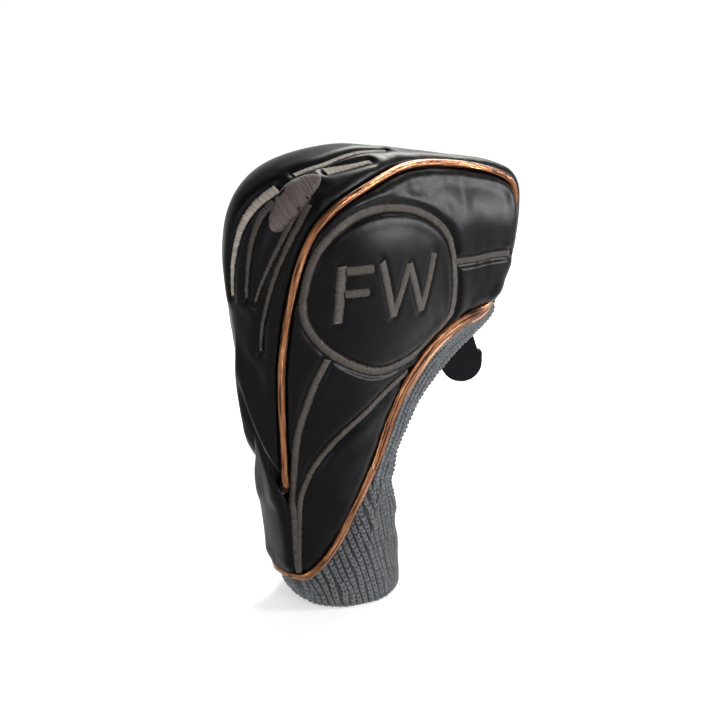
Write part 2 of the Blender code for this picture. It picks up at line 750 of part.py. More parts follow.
def tag_outline():
    """Round below, square shoulders, and a neck that leans to the eye at the top."""
    disc = TAG_DISC
    bowl = arc(disc, TAG_RADIUS, -180, 0, 20)
    shoulder = disc[1] + TAG_SHOULDER
    right = [(disc[0] + TAG_RADIUS, shoulder - 1.2), (disc[0] + TAG_RADIUS - 1.2, shoulder)]
    left = [(disc[0] - TAG_RADIUS + 1.2, shoulder), (disc[0] - TAG_RADIUS, shoulder - 1.2)]
    neck = [(disc[0] + 9.4, shoulder), (EYE_HALF_WIDE, 0.3), (EYE_HALF_WIDE - 1.6, EYE_BAR)]
    neck += [(1.6 - EYE_HALF_WIDE, EYE_BAR), (-EYE_HALF_WIDE, 0.3), (disc[0] - 9.4, shoulder)]
    return bowl + right + neck + left


def build_tag(plastic, dial, metal, webbing):
    x, y, z = TAG_HINGE
    hinge = bpy.data.objects.new("tag_hinge", None)
    bpy.context.scene.collection.objects.link(hinge)
    hinge.location = (x * MM, y * MM, z * MM)
    hinge.rotation_euler = (0.0, 0.0, TAG_TURN)

    inner = DIAL_THICK / 2 + GAP
    outer = inner + PLATE_THICK
    slot = [(-4.9, -1.4), (-4.9, -6.6), (4.9, -6.6), (4.9, -1.4)]
    rivet_hole = arc(TAG_DISC, 2.3, 0, 345, 23)
    window = arc((TAG_DISC[0], TAG_DISC[1] - 6.6), 2.9, 0, 345, 23)
    for name, side in (("tag_front_plate", -1), ("tag_back_plate", 1)):
        low, high = sorted((side * inner, side * outer))
        plate = extruded(name, tag_outline(), low, high, plastic, hinge)
        cut(plate, slot, low, high, hinge)
        if side > 0:
            cut(plate, rivet_hole, low, high, hinge)
            cut(plate, window, low, high, hinge)

    knurled = []
    for i in range(DIAL_SCALLOPS * 2):
        angle = math.pi * i / DIAL_SCALLOPS
        radius = DIAL_RADIUS - (0.5 if i % 2 else 0.0)
        place = (TAG_DISC[0] + radius * math.cos(angle), TAG_DISC[1] + radius * math.sin(angle))
        knurled.append(place)
    wheel = extruded("number_dial", knurled, -DIAL_THICK / 2, DIAL_THICK / 2, dial, hinge)
    cut(wheel, rivet_hole, -DIAL_THICK / 2, DIAL_THICK / 2, hinge)

    foot = GAP - inner
    profile = [(0, foot), (1.9, foot), (1.9, outer + GAP), (3.4, outer + GAP)]
    profile += [(2.4, outer + 0.9), (0, outer + 0.9)]
    rings = []
    for i in range(20):
        angle = 2 * math.pi * i / 20
        turn = math.cos(angle), math.sin(angle)
        at = TAG_DISC
        rings.append([(at[0] + r * turn[0], d, at[1] + r * turn[1]) for r, d in profile[1:-1]])
    size = len(rings[0])
    points, faces = sweep(rings, closed=True)
    faces = [f for f in faces if not {n % size for n in f} == {0, size - 1}]
    faces += [[n * size for n in range(20)], [n * size + size - 1 for n in reversed(range(20))]]
    add_object("tag_rivet", mesh_from("tag_rivet", points, faces), metal, hinge)

    tail = [(1.0, 4.0), (0.6, 6.4), (-1.6, 9.0), (-6.2, 11.2)]
    under = [(-7.0, 9.4), (-3.0, 7.4), (-1.4, 5.4), (-1.0, 4.0)]
    shape = arc((0, 0), LOOP_OUTER, 105, 435, 22) + tail[1:] + under[:-1]
    half = LOOP_WIDE / 2
    points = [(-half, d, h) for d, h in shape] + [(half, d, h) for d, h in shape]
    count = len(shape)
    faces = [list(range(count)), [count + i for i in reversed(range(count))]]
    faces += [[i, count + i, count + (i + 1) % count, (i + 1) % count] for i in range(count)]
    loop = add_object("tag_loop", mesh_from("tag_loop", points, faces), webbing, hinge)
    ring = [(-half - 5, d, h) for d, h in arc((0, 0), LOOP_INNER, 0, 345, 23)]
    ring += [(half + 5, d, h) for d, h in arc((0, 0), LOOP_INNER, 0, 345, 23)]
    faces = [list(range(24)), [24 + i for i in reversed(range(24))]]
    faces += [[i, 24 + i, 24 + (i + 1) % 24, (i + 1) % 24] for i in range(24)]
    cutter = add_object("tag_loop_cutter", mesh_from("tag_loop_cutter", ring, faces), webbing, hinge)
    cutter.hide_render = True
    cutter.display_type = "WIRE"
    bore = loop.modifiers.new("bore", "BOOLEAN")
    bore.operation = "DIFFERENCE"
    bore.solver = "EXACT"
    bore.object = cutter


def main():
    clear_scene()
    leather = material("black_leather", (0.012, 0.013, 0.016), 0.32)
    foam = material("grey_foam", (0.25, 0.25, 0.26), 0.9)
    lining = material("black_fleece", (0.03, 0.03, 0.035), 0.95)
    copper = material("copper_film", (0.45, 0.2, 0.1), 0.3, 0.9)
    knit = material("grey_knit", (0.2, 0.22, 0.24), 0.9)
    elastic = material("white_elastic", (0.7, 0.7, 0.68), 0.8)
    thread = material("taupe_thread", (0.2, 0.155, 0.13), 0.55)
    pale = material("cream_thread", (0.55, 0.5, 0.42), 0.55)
    plastic = material("black_plastic", (0.015, 0.015, 0.02), 0.3)
    dial = material("dial_plastic", (0.03, 0.03, 0.035), 0.45)
    steel = material("black_steel", (0.05, 0.05, 0.05), 0.35, 0.8)
    webbing = material("black_webbing", (0.02, 0.02, 0.02), 0.9)
    build_panels(leather, foam, lining)
    build_piping("front_piping", copper)
    build_piping("back_piping", copper, flip=True)
    build_binding(copper)
    build_sock(knit, elastic)
    front = surface_tree(bpy.data.objects["front_panel"])
    crown = surface_tree(bpy.data.objects["crown_panel"])
    build_side_stitching(front, thread)
    build_letters(front, thread)
    build_crown_stitching(crown, thread, pale)
    build_tag(plastic, dial, steel, webbing)


main()
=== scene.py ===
"""Visual model of a knit-necked head cover for a fairway wood.

Frame: metres, +Z up, floor at z = 0, +X towards the toe, -Y towards the lettered side.
Shapes are worked out in millimetres and turned into metres when a mesh is made.
"""
import math

import bmesh
import bpy
import numpy as np
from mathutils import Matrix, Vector, noise
from mathutils.bvhtree import BVHTree
from mathutils.kdtree import KDTree


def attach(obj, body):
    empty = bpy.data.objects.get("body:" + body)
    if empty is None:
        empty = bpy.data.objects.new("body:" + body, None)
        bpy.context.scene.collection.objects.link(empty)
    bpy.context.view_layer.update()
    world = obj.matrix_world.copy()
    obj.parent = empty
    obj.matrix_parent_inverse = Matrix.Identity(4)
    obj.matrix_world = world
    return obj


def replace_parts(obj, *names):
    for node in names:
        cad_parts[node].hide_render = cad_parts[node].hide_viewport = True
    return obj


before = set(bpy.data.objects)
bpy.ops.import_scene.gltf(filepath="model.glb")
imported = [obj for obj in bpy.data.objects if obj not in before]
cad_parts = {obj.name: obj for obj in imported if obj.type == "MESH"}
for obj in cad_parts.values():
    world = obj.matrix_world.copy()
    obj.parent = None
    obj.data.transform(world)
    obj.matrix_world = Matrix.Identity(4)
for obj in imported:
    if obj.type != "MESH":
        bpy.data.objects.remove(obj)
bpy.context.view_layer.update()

MM = 0.001
rng = np.random.default_rng(7)

# ---------------------------------------------------------------- camera

AZIMUTH, ELEVATION, DISTANCE = math.radians(-32), math.radians(15), 0.585
AIM = Vector((-0.012, 0.0, 0.126))
camera_data = bpy.data.cameras.new("camera")
camera_data.lens = 55.25
camera_data.sensor_width = 36.0
camera = bpy.data.objects.new("camera", camera_data)
bpy.context.scene.collection.objects.link(camera)
toward = Vector((
    math.cos(ELEVATION) * math.sin(AZIMUTH),
    -math.cos(ELEVATION) * math.cos(AZIMUTH),
    math.sin(ELEVATION),
))
camera.location = AIM + toward * DISTANCE
camera.rotation_euler = toward.to_track_quat("Z", "Y").to_euler()
bpy.context.scene.camera = camera
bpy.context.scene.view_settings.view_transform = "Standard"

# ---------------------------------------------------------------- outline of the cover, as in the CAD

# Each station: hem (x, y, z), seam (x, y, z), ridge (x, z), puff of the side panel, arch of the band.
STATIONS = (
    ((-62, -9.5, 17.5), (-63.5, -5, 18.5), (-64, 19.5), 0.5, 40),
    ((-55, -15, 18), (-65, -11, 29), (-66, 33), 2, 50),
    ((-45, -17, 25), (-65, -13, 40), (-69, 54), 4, 60),
    ((-36, -18, 36), (-64, -13, 53), (-73, 78), 5, 70),
    ((-29, -18.5, 48), (-63, -11, 66), (-77, 105), 6, 75),
    ((-23, -19, 59), (-65, -13, 83), (-81.5, 135), 7, 72),
    ((-16, -19.5, 73), (-66.5, -15, 104), (-85.5, 162), 8, 62),
    ((-10, -19.5, 88), (-69, -20, 136), (-88, 189), 9, 52),
    ((-4, -19, 101), (-67, -26, 168), (-84, 211), 9, 50),
    ((2, -19, 112), (-62, -34, 196), (-71, 226), 8, 48),
    ((10, -18.5, 122), (-50, -36, 211), (-51, 235), 8, 45),
    ((21, -17, 132), (-29, -31, 220), (-24, 238.5), 9, 42),
    ((33, -15, 139), (2, -20.5, 228), (4, 236), 10, 40),
    ((46, -13.5, 144), (36, -13.5, 227), (38, 231.5), 10, 35),
    ((56, -13, 147), (66, -11, 221), (70, 226), 9, 35),
    ((61, -12.5, 148.5), (78, -11, 213), (85, 218), 8, 50),
    ((64, -12, 149.5), (79, -11, 196), (88.5, 202), 5, 60),
    ((66, -11.5, 150), (75.5, -11, 174), (84, 174), 2.5, 60),
    ((67, -11, 151), (68, -10.5, 158), (75, 153), 0.5, 60),
)
ROWS = np.array([[*h, *s, *r, puff, arch] for h, s, r, puff, arch in STATIONS], float)
LAST = len(ROWS) - 1
PIPING_END = 4.0
PIPING_STOP = LAST - 0.06
TOE_END, HEEL_END = LAST - 0.02, 0.02
SHELL_DEPTH = 3.4
MIRROR = np.array((1.0, -1.0, 1.0))


def smooth_rows(values, places, at):
    """Rows of values at any places between theirs, on a smooth curve through them."""
    at = np.asarray(at, float)
    order = np.arange(len(places))
    i = np.clip(np.searchsorted(places, at, side="right") - 1, 0, len(places) - 2)
    width = (places[i + 1] - places[i])[..., None]
    u = (at - places[i])[..., None] / width
    above = np.minimum(order + 1, len(places) - 1)
    below = np.maximum(order - 1, 0)
    slope = (values[above] - values[below]) / (places[above] - places[below])[:, None]
    return (
        (2 * u**3 - 3 * u**2 + 1) * values[i]
        + (u**3 - 2 * u**2 + u) * width * slope[i]
        + (3 * u**2 - 2 * u**3) * values[i + 1]
        + (u**3 - u**2) * width * slope[i + 1]
    )


def rows_at(k):
    """Outline values at station numbers k."""
    return smooth_rows(ROWS, np.arange(LAST + 1.0), k)


def side(k, u):
    """Outer face of the side panel: u = 0 on the hem, 1 on the seam."""
    k, u = np.broadcast_arrays(np.asarray(k, float), np.asarray(u, float))
    row = rows_at(k)
    point = row[..., 0:3] + (row[..., 3:6] - row[..., 0:3]) * u[..., None]
    point[..., 1] -= row[..., 8] * (1 - np.abs(2 * u - 1) ** 2.5)
    return point


def band(k, w):
    """Outer face of the crown band: w = -1 on the front seam, 0 on the ridge, 1 on the back seam."""
    k, w = np.broadcast_arrays(np.asarray(k, float), np.asarray(w, float))
    row = rows_at(k)
    seam = row[..., 3:6]
    ridge = np.stack([row[..., 6], np.zeros_like(k), row[..., 7]], axis=-1)
    arch = np.radians(row[..., 9])
    turn = arch * np.abs(w)
    rise = (np.cos(turn) - np.cos(arch)) / (1 - np.cos(arch))
    point = seam + (ridge - seam) * rise[..., None]
    point[..., 1] = seam[..., 1] * np.sin(turn) / np.sin(arch) * -np.sign(w)
    return point


def unit(v):
    return v / np.maximum(np.linalg.norm(v, axis=-1, keepdims=True), 1e-9)


def gone_along(points):
    """Distance gone along a line at each of its points."""
    return np.concatenate([[0], np.cumsum(np.linalg.norm(np.diff(points, axis=0), axis=1))])


def at_places(points, gone, places):
    """Points of a line at these distances along it."""
    return np.stack([np.interp(places, gone, c) for c in points.T], axis=1)


def normal_of(surface, k, s):
    """Unit normal of side or band, pointing out of the cover."""
    step = 0.02
    k0, k1 = np.clip(k - step, 0, LAST), np.clip(k + step, 0, LAST)
    low = 0.0 if surface is side else -1.0
    s0, s1 = np.clip(s - step, low, 1), np.clip(s + step, low, 1)
    return unit(np.cross(surface(k1, s) - surface(k0, s), surface(k, s1) - surface(k, s0)))


def smooth_step(x, low, high):
    t = np.clip((x - low) / (high - low), 0, 1)
    return t * t * (3 - 2 * t)


def even_stations(start, stop, step):
    """Station numbers from start to stop, evenly spaced along the seam."""
    fine = np.linspace(start, stop, 1500)
    gone = gone_along(side(fine, 1.0))
    count = max(int(round(gone[-1] / step)), 2)
    return np.interp(np.linspace(0, gone[-1], count + 1), gone, fine)


def smooth_line(points, count, closed=False):
    """A Catmull-Rom curve through the points, with count spans between each two of them."""
    points = np.asarray(points, float)
    size = len(points)
    if closed:
        ring = points[np.arange(-1, size + 2) % size]
    else:
        first, last = 2 * points[0] - points[1], 2 * points[-1] - points[-2]
        ring = np.vstack([first, points, last])
    t = (np.arange(count) / count)[:, None]
    curve = []
    for a, b, c, d in zip(ring[:-3], ring[1:-2], ring[2:-1], ring[3:]):
        bend = 2 * a - 5 * b + 4 * c - d
        curve.append(0.5 * (2 * b + (c - a) * t + bend * t**2 + (3 * b - a - 3 * c + d) * t**3))
    if not closed:
        curve.append(points[-1:])
    return np.vstack(curve)


def along_line(points, step, closed=False):
    """The line resampled at about this step, with the distance gone at every point."""
    if closed:
        points = np.vstack([points, points[:1]])
    gone = gone_along(points)
    count = max(int(round(gone[-1] / step)), 2)
    places = np.linspace(0, gone[-1], count + 1)
    if closed:
        places = places[:-1]
    return at_places(points, gone, places), places


def tree_of(points):
    tree = KDTree(len(points))
    for i, p in enumerate(points):
        tree.insert(p, i)
    tree.balance()
    return tree


def tree_from(points, faces):
    return BVHTree.FromPolygons([Vector(p) for p in points], [list(map(int, f)) for f in faces])


def distances(tree, points):
    flat = points.reshape(-1, 3)
    return np.array([tree.find(p)[2] for p in flat]).reshape(points.shape[:-1])


def noise_of(points, scale, seed=0.0):
    """Smooth noise between -1 and 1 at points in millimetres; scale is the size of its lumps."""
    flat = points.reshape(-1, points.shape[-1]) / scale + seed
    return np.array([noise.noise(Vector(p)) for p in flat]).reshape(points.shape[:-1])


# ---------------------------------------------------------------- meshes

def new_object(name, mesh):
    obj = bpy.data.objects.new(name, mesh)
    bpy.context.scene.collection.objects.link(obj)
    return obj


def add_mesh(name, points, faces, mat, uv=None):
    """A piece of the cover in metres, from points in millimetres."""
    mesh = bpy.data.meshes.new(name)
    mesh.from_pydata((np.asarray(points) * MM).tolist(), [], [list(f) for f in faces])
    obj = new_object(name, mesh)
    mesh.materials.append(mat)
    if uv is not None:
        layer = mesh.uv_layers.new(name="thread")
        loops = np.empty(len(mesh.loops), int)
        mesh.loops.foreach_get("vertex_index", loops)
        layer.data.foreach_set("uv", uv[loops].ravel())
    mesh.shade_smooth()
    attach(obj, "cover")
    return obj


def grid_faces(rows, cols, wrap=False, start=0):
    """Faces of a grid of points, optionally joined round its columns."""
    r = np.arange(rows - 1)[:, None]
    c = np.arange(cols if wrap else cols - 1)[None, :]
    a = start + r * cols + c
    b = start + r * cols + (c + 1) % cols
    return np.stack([a, b, b + cols, a + cols], axis=-1).reshape(-1, 4)


def tube_faces(rows, cols, start=0):
    """Faces of a capped tube of rings that follow one another."""
    faces = grid_faces(rows, cols, wrap=True, start=start).tolist()
    faces.append([start + i for i in range(cols)][::-1])
    faces.append([start + (rows - 1) * cols + i for i in range(cols)])
    return faces


def face_out(obj):
    """Turns every separate shell of a mesh so that its faces point outwards."""
    work = bmesh.new()
    work.from_mesh(obj.data)
    bmesh.ops.recalc_face_normals(work, faces=work.faces)
    work.to_mesh(obj.data)
    work.free()


# ---------------------------------------------------------------- materials

def new_material(name):
    mat = bpy.data.materials.new(name)
    mat.use_nodes = True
    tree = mat.node_tree
    return mat, tree, tree.nodes["Principled BSDF"]


def set_inputs(node, **values):
    for key, value in values.items():
        node.inputs[key.replace("_", " ")].default_value = value


def add_node(tree, kind, **values):
    """A node whose keywords are its own settings or, failing that, its inputs."""
    node = tree.nodes.new(kind)
    for key, value in values.items():
        if hasattr(node, key):
            setattr(node, key, value)
        else:
            set_inputs(node, **{key: value})
    return node


def object_place(tree):
    return tree.nodes.new("ShaderNodeTexCoord").outputs["Object"]


def thread_uv(tree):
    return add_node(tree, "ShaderNodeUVMap", uv_map="thread").outputs["UV"]


def ramp(tree, source, stops):
    """Colours by the source's value, from stops in rising order."""
    node = tree.nodes.new("ShaderNodeValToRGB")
    elements = node.color_ramp.elements
    elements.remove(elements[0])
    elements[0].position = stops[0][0]
    for place, _ in stops[1:]:
        elements.new(place)
    for element, (_, colour) in zip(elements, stops):
        element.color = (*colour, 1.0)
    tree.links.new(source, node.inputs["Fac"])
    return node.outputs["Color"]


def spread_value(tree, source, low, high):
    node = add_node(tree, "ShaderNodeMapRange", To_Min=low, To_Max=high)
    tree.links.new(source, node.inputs["Value"])
    return node.outputs["Result"]


def mapped(tree, vector, scale, turn=0.0):
    """Coordinates scaled, and turned about Z by this many degrees."""
    node = add_node(tree, "ShaderNodeMapping", Scale=scale, Rotation=(0, 0, math.radians(turn)))
    tree.links.new(vector, node.inputs["Vector"])
    return node.outputs["Vector"]


def noise_node(tree, vector, scale, detail, roughness):
    node = add_node(tree, "ShaderNodeTexNoise", Scale=scale, Detail=detail, Roughness=roughness)
    tree.links.new(vector, node.inputs["Vector"])
    return node.outputs["Fac"]


def bump(tree, height, distance, strength=1.0, below=None):
    node = add_node(tree, "ShaderNodeBump", Strength=strength, Distance=distance)
    tree.links.new(height, node.inputs["Height"])
    if below is not None:
        tree.links.new(below, node.inputs["Normal"])
    return node.outputs["Normal"]


def twist_bump(tree, scale, turn, distortion, distance, strength):
    """Relief of plies that run slantwise round a thread."""
    wave = add_node(tree, "ShaderNodeTexWave", Scale=1.0, Distortion=distortion)
    tree.links.new(mapped(tree, thread_uv(tree), scale, turn), wave.inputs["Vector"])
    return bump(tree, wave.outputs["Fac"], distance, strength)


def leather_material():
    """Black coated fabric with a fine pebbled grain and a soft shine."""
    mat, tree, shader = new_material("black_leather")
    place = object_place(tree)
    cells = add_node(tree, "ShaderNodeTexVoronoi", feature="SMOOTH_F1", Scale=1500.0, Smoothness=0.6)
    tree.links.new(place, cells.inputs["Vector"])
    creases = noise_node(tree, place, 380.0, 4.0, 0.6)
    broad = noise_node(tree, place, 26.0, 3.0, 0.5)
    colour = ramp(tree, broad, [(0.35, (0.0009, 0.0009, 0.0014)), (0.7, (0.0018, 0.0018, 0.0025))])
    tree.links.new(colour, shader.inputs["Base Color"])
    tree.links.new(spread_value(tree, creases, 0.29, 0.41), shader.inputs["Roughness"])
    pebble = bump(tree, cells.outputs["Distance"], 0.00004, 0.5)
    tree.links.new(bump(tree, creases, 0.00007, 0.45, pebble), shader.inputs["Normal"])
    set_inputs(shader, Specular_IOR_Level=0.08)
    return mat


def copper_material(name, light, mid, dark, roughness):
    """Metallic film on a soft backing, creased along the trim. Its colour is streaked lengthwise from near
    black to bright copper: painted highlights and painted dark reflections along the creases, over a tone that
    varies at random.
    """
    mat, tree, shader = new_material(name)
    uv = thread_uv(tree)
    glint_and_shade_streak = noise_node(tree, mapped(tree, uv, (0.045, 1.5, 1.0)), 1.0, 3.0, 0.55)
    crumple = noise_node(tree, mapped(tree, uv, (0.22, 0.9, 1.0)), 1.0, 3.0, 0.6)
    total = add_node(tree, "ShaderNodeMath", operation="ADD")
    tree.links.new(glint_and_shade_streak, total.inputs[0])
    tree.links.new(spread_value(tree, crumple, -0.1, 0.1), total.inputs[1])
    # Dark and light stops of the streaks: painted dark reflections and painted highlights on the film; the mid
    # stops are its own colour.
    stops = [(0.38, dark), (0.50, mid), (0.60, mid), (0.70, light)]
    tree.links.new(ramp(tree, total.outputs[0], stops), shader.inputs["Base Color"])
    set_inputs(shader, Metallic=0.9)
    tree.links.new(spread_value(tree, crumple, roughness - 0.07, roughness + 0.1), shader.inputs["Roughness"])
    first = bump(tree, glint_and_shade_streak, 0.0006, 0.8)
    tree.links.new(bump(tree, crumple, 0.00015, 0.4, first), shader.inputs["Normal"])
    return mat


def thread_material(name, colour, light):
    """Twisted embroidery thread; every stitch has its own shade."""
    mat, tree, shader = new_material(name)
    shade = tree.nodes.new("ShaderNodeNewGeometry").outputs["Random Per Island"]
    tree.links.new(ramp(tree, shade, [(0.0, colour), (1.0, light)]), shader.inputs["Base Color"])
    tree.links.new(twist_bump(tree, (1.6, 1.6, 1.0), 35, 0.4, 0.00008, 0.6), shader.inputs["Normal"])
    set_inputs(shader, Roughness=0.42, Sheen_Weight=0.06, Sheen_Roughness=0.4)
    return mat


def knit_material(name, dark, light):
    """Soft spun yarn of several plies."""
    mat, tree, shader = new_material(name)
    shade = tree.nodes.new("ShaderNodeNewGeometry").outputs["Random Per Island"]
    heather = noise_node(tree, object_place(tree), 900.0, 4.0, 0.7)
    mix = add_node(tree, "ShaderNodeMath", operation="MULTIPLY_ADD")
    tree.links.new(shade, mix.inputs[0])
    mix.inputs[1].default_value = 0.35
    tree.links.new(spread_value(tree, heather, 0.0, 0.7), mix.inputs[2])
    tree.links.new(ramp(tree, mix.outputs[0], [(0.1, dark), (0.8, light)]), shader.inputs["Base Color"])
    plies = twist_bump(tree, (0.7, 0.9, 1.0), 30, 1.5, 0.00025, 0.8)
    tree.links.new(bump(tree, heather, 0.00015, 0.6, plies), shader.inputs["Normal"])
    set_inputs(shader, Roughness=0.85, Sheen_Weight=0.35, Sheen_Roughness=0.5)
    return mat


def cloth_material(name, colour, light, scale, roughness=0.9, sheen=0.3):
    """Brushed pile, foam or tape: mottled colour with a fine rough surface."""
    mat, tree, shader = new_material(name)
    pile = noise_node(tree, object_place(tree), scale, 5.0, 0.7)
    tree.links.new(ramp(tree, pile, [(0.3, colour), (0.75, light)]), shader.inputs["Base Color"])
    tree.links.new(bump(tree, pile, 0.0002, 0.8), shader.inputs["Normal"])
    set_inputs(shader, Roughness=roughness, Sheen_Weight=sheen)
    return mat


def plastic_material(name, colour, light, roughness, **inputs):
    """Moulded plastic with a spark-eroded skin and fine scuffs."""
    mat, tree, shader = new_material(name)
    place = object_place(tree)
    skin = noise_node(tree, place, 1500.0, 2.0, 0.5)
    scuffs = noise_node(tree, place, 160.0, 5.0, 0.65)
    tree.links.new(ramp(tree, scuffs, [(0.35, colour), (0.8, light)]), shader.inputs["Base Color"])
    tree.links.new(spread_value(tree, scuffs, roughness - 0.06, roughness + 0.14), shader.inputs["Roughness"])
    tree.links.new(bump(tree, skin, 0.00004, 0.4), shader.inputs["Normal"])
    set_inputs(shader, **inputs)
    return mat


leather = leather_material()
# The light and dark colours of both copper films are painted highlights and painted dark reflections; the mid
# colour is the film's own.
copper = copper_material(
    "copper_film", (0.72, 0.38, 0.19), (0.24, 0.10, 0.045), (0.030, 0.011, 0.006), 0.22)
copper_pale = copper_material(
    "copper_edge", (0.66, 0.40, 0.26), (0.40, 0.215, 0.13), (0.12, 0.052, 0.028), 0.42)
taupe = thread_material("taupe_thread", (0.022, 0.0163, 0.0125), (0.056, 0.0415, 0.0315))
# Real padding core, coloured darker than the taupe thread as painted shade between the threads.
taupe_padding_shade = cloth_material("taupe_underlay_painted_shade", (0.012, 0.0095, 0.0075), (0.025, 0.020, 0.016), 900.0)
cream = thread_material("cream_thread", (0.20, 0.172, 0.142), (0.40, 0.35, 0.30))
plum = thread_material("plum_thread", (0.060, 0.042, 0.037), (0.115, 0.084, 0.074))
# Real padding core, coloured darker than the cream thread as painted shade between the threads.
cream_padding_shade = cloth_material("cream_underlay_painted_shade", (0.12, 0.105, 0.085), (0.2, 0.18, 0.145), 900.0)
yarn = knit_material("grey_yarn", (0.042, 0.047, 0.052), (0.150, 0.163, 0.176))
# Far darker than the yarn: painted shade for the gaps between the knit's loops and ribs.
knit_gap_shade = cloth_material("grey_yarn_painted_shade", (0.010, 0.011, 0.013), (0.026, 0.029, 0.033), 600.0)
lining_mat = cloth_material("brushed_lining", (0.01, 0.01, 0.012), (0.03, 0.03, 0.034), 1400.0, 0.95, 0.6)
foam_mat = cloth_material("padding_foam", (0.42, 0.42, 0.38), (0.55, 0.54, 0.5), 1100.0, 0.95, 0.1)
elastic_mat = cloth_material("elastic_tape", (0.55, 0.55, 0.53), (0.7, 0.7, 0.68), 700.0, 0.8, 0.2)
webbing_mat = cloth_material("black_webbing", (0.008, 0.008, 0.009), (0.03, 0.03, 0.032), 900.0, 0.75, 0.2)
tag_plastic = plastic_material(
    "tag_plastic", (0.0028, 0.0028, 0.005), (0.005, 0.005, 0.008), 0.25, Specular_IOR_Level=0.1)
dial_plastic = plastic_material(
    "dial_plastic", (0.0065, 0.0065, 0.008), (0.012, 0.012, 0.014), 0.4, Specular_IOR_Level=0.1)
rivet_metal = plastic_material("rivet_metal", (0.02, 0.02, 0.02), (0.05, 0.05, 0.05), 0.32, Metallic=0.9)

# ---------------------------------------------------------------- embroidery plans

# Side panel, as (x, z) in side view
RING = (
    (-62.2, 166), (-62, 174), (-60.6, 184), (-57.8, 192), (-52.5, 199), (-45.5, 204), (-37, 207.7),
    (-27, 209.8), (-14, 210.2), (2, 207.6), (15, 202), (24.4, 194), (29, 183.5), (30.8, 172.5), (32.6, 161),
    (32.8, 150.5), (27.5, 142.5), (17, 135.8), (6.5, 131), (-5, 128), (-16, 127.2), (-27.5, 129.8),
    (-41.5, 136.8), (-53, 146), (-59.8, 156),
)
SWEEP_INNER = (
    (-49.5, 138), (-51.8, 133), (-54.6, 126.5), (-57.6, 115), (-59.9, 103), (-61.1, 88.5), (-61.0, 72),
    (-61.2, 56), (-61.2, 41), (-60.4, 29), (-58.6, 20.5),
)
SWEEP_OUTER = (
    (4, 122), (-7.5, 116.8), (-24.3, 107.2), (-37.1, 98.5), (-47.4, 88), (-53.6, 78.5), (-56.7, 68),
    (-58.4, 57), (-59.3, 47), (-59.6, 37), (-59.3, 28), (-58.6, 21.5),
)
TOE_LINE = ((31.5, 178.3), (45.3, 178), (57.3, 178.8), (70.5, 178.6))
# Name, route, whether it closes on itself, width at its start and at its end
SIDE_STITCHES = (
    ("ring", RING, True, 4.3, 4.3),
    ("sweep_inner", SWEEP_INNER, False, 4.0, 3.4),
    ("sweep_outer", SWEEP_OUTER, False, 3.8, 2.6),
    ("toe", TOE_LINE, False, 3.6, 3.6),
)
LETTER_STROKES = (
    ((-46, 157), (-46, 185), 5.0), ((-43.2, 182.6), (-29, 182.6), 4.6), ((-43.2, 171.3), (-31, 171.3), 4.4),
    ((-23.6, 185), (-14.6, 157), 4.6), ((-14.4, 157), (-5.2, 182), 4.6),
    ((-4.8, 182), (4.8, 157), 4.6), ((5.2, 157), (13, 185), 4.6),
)

# Crown band, as (station, across: 0 on the front seam, 1 on the ridge), then first and last width
TRAILS = (
    (((9.05, 0.57), (8.56, 0.63), (7.83, 0.7), (7.21, 0.76), (6.7, 0.82), (6.3, 0.89)), 5.2, 1.6, "cream"),
    (((8.8, 0.5), (8.33, 0.52), (7.78, 0.51), (7.25, 0.5), (6.8, 0.5)), 4.0, 1.3, "taupe"),
    (((9.0, 0.24), (8.46, 0.24), (7.79, 0.28), (7.05, 0.36)), 3.2, 1.2, "taupe"),
    (((9.5, 0.2), (9.03, 0.16), (8.41, 0.17), (7.95, 0.19), (7.38, 0.22), (6.4, 0.29)), 3.6, 1.3, "taupe"),
    (((9.6, 0.57), (10.3, 0.54), (11.0, 0.6), (11.8, 0.66)), 2.2, 1.3, "cream"),
    (((10.25, 0.42), (10.7, 0.38), (11.25, 0.34)), 5.0, 1.8, "cream"),
)
EMBLEM_AT, EMBLEM_LONG, EMBLEM_WIDE = (9.25, 0.36), 1.6, 0.3


def side_places(points):
    """Where places (x, z) of the side view lie on the plain outline of the side panel."""
    starts = np.stack([points[:, 0], np.full(len(points), -90.0), points[:, 1]], axis=1)
    return np.array([drop(side_plain, p, (0, 1, 0))[0] for p in starts])


def drop(tree, start, direction):
    """Where a line from start meets a surface, and the surface's normal facing back along it."""
    place, normal, _, _ = tree.ray_cast(Vector(start), Vector(direction))
    if place is None:
        place, normal, _, _ = tree.find_nearest(Vector(start) + Vector(direction) * 40)
    place, normal = np.array(place), np.array(normal)
    return place, normal if normal @ np.array(direction) < 0 else -normal


def crown_places(points):
    return band(points[:, 0], -(1 - points[:, 1]))


# ---------------------------------------------------------------- leather panels

def grid_normals(points):
    return unit(np.cross(np.gradient(points, axis=0), np.gradient(points, axis=1)))


def eased_row(row, reach):
    """A line across the low heel, from the hem to the middle, with its fold rounded off."""
    gone = gone_along(row)
    step = 0.25
    places = np.arange(0, gone[-1], step)
    even = at_places(row, gone, places)
    reach_steps = int(3 * reach / step)
    beyond = (even * MIRROR)[::-1][:reach_steps]
    before = 2 * even[0] - even[1:reach_steps + 1][::-1]
    line = np.vstack([before, even, beyond])
    kernel = np.exp(-0.5 * (np.arange(-reach_steps, reach_steps + 1) * step / reach) ** 2)
    kernel /= kernel.sum()
    soft = np.stack([np.convolve(c, kernel, mode="valid") for c in line.T], axis=1)
    return at_places(soft, places[:len(soft)], gone)


EDGE_ACROSS = np.array((0.0, 0.08, 0.25, 0.45, 0.66, 0.85, 1.0))
EDGE_STATION = np.array((3.93, 3.74, 3.5, 3.42, 3.58, 3.85, 4.0))


def crown_edge(w):
    """Station of the crown panel's lower edge, across the band."""
    return np.interp(1 - np.abs(w), EDGE_ACROSS, EDGE_STATION)


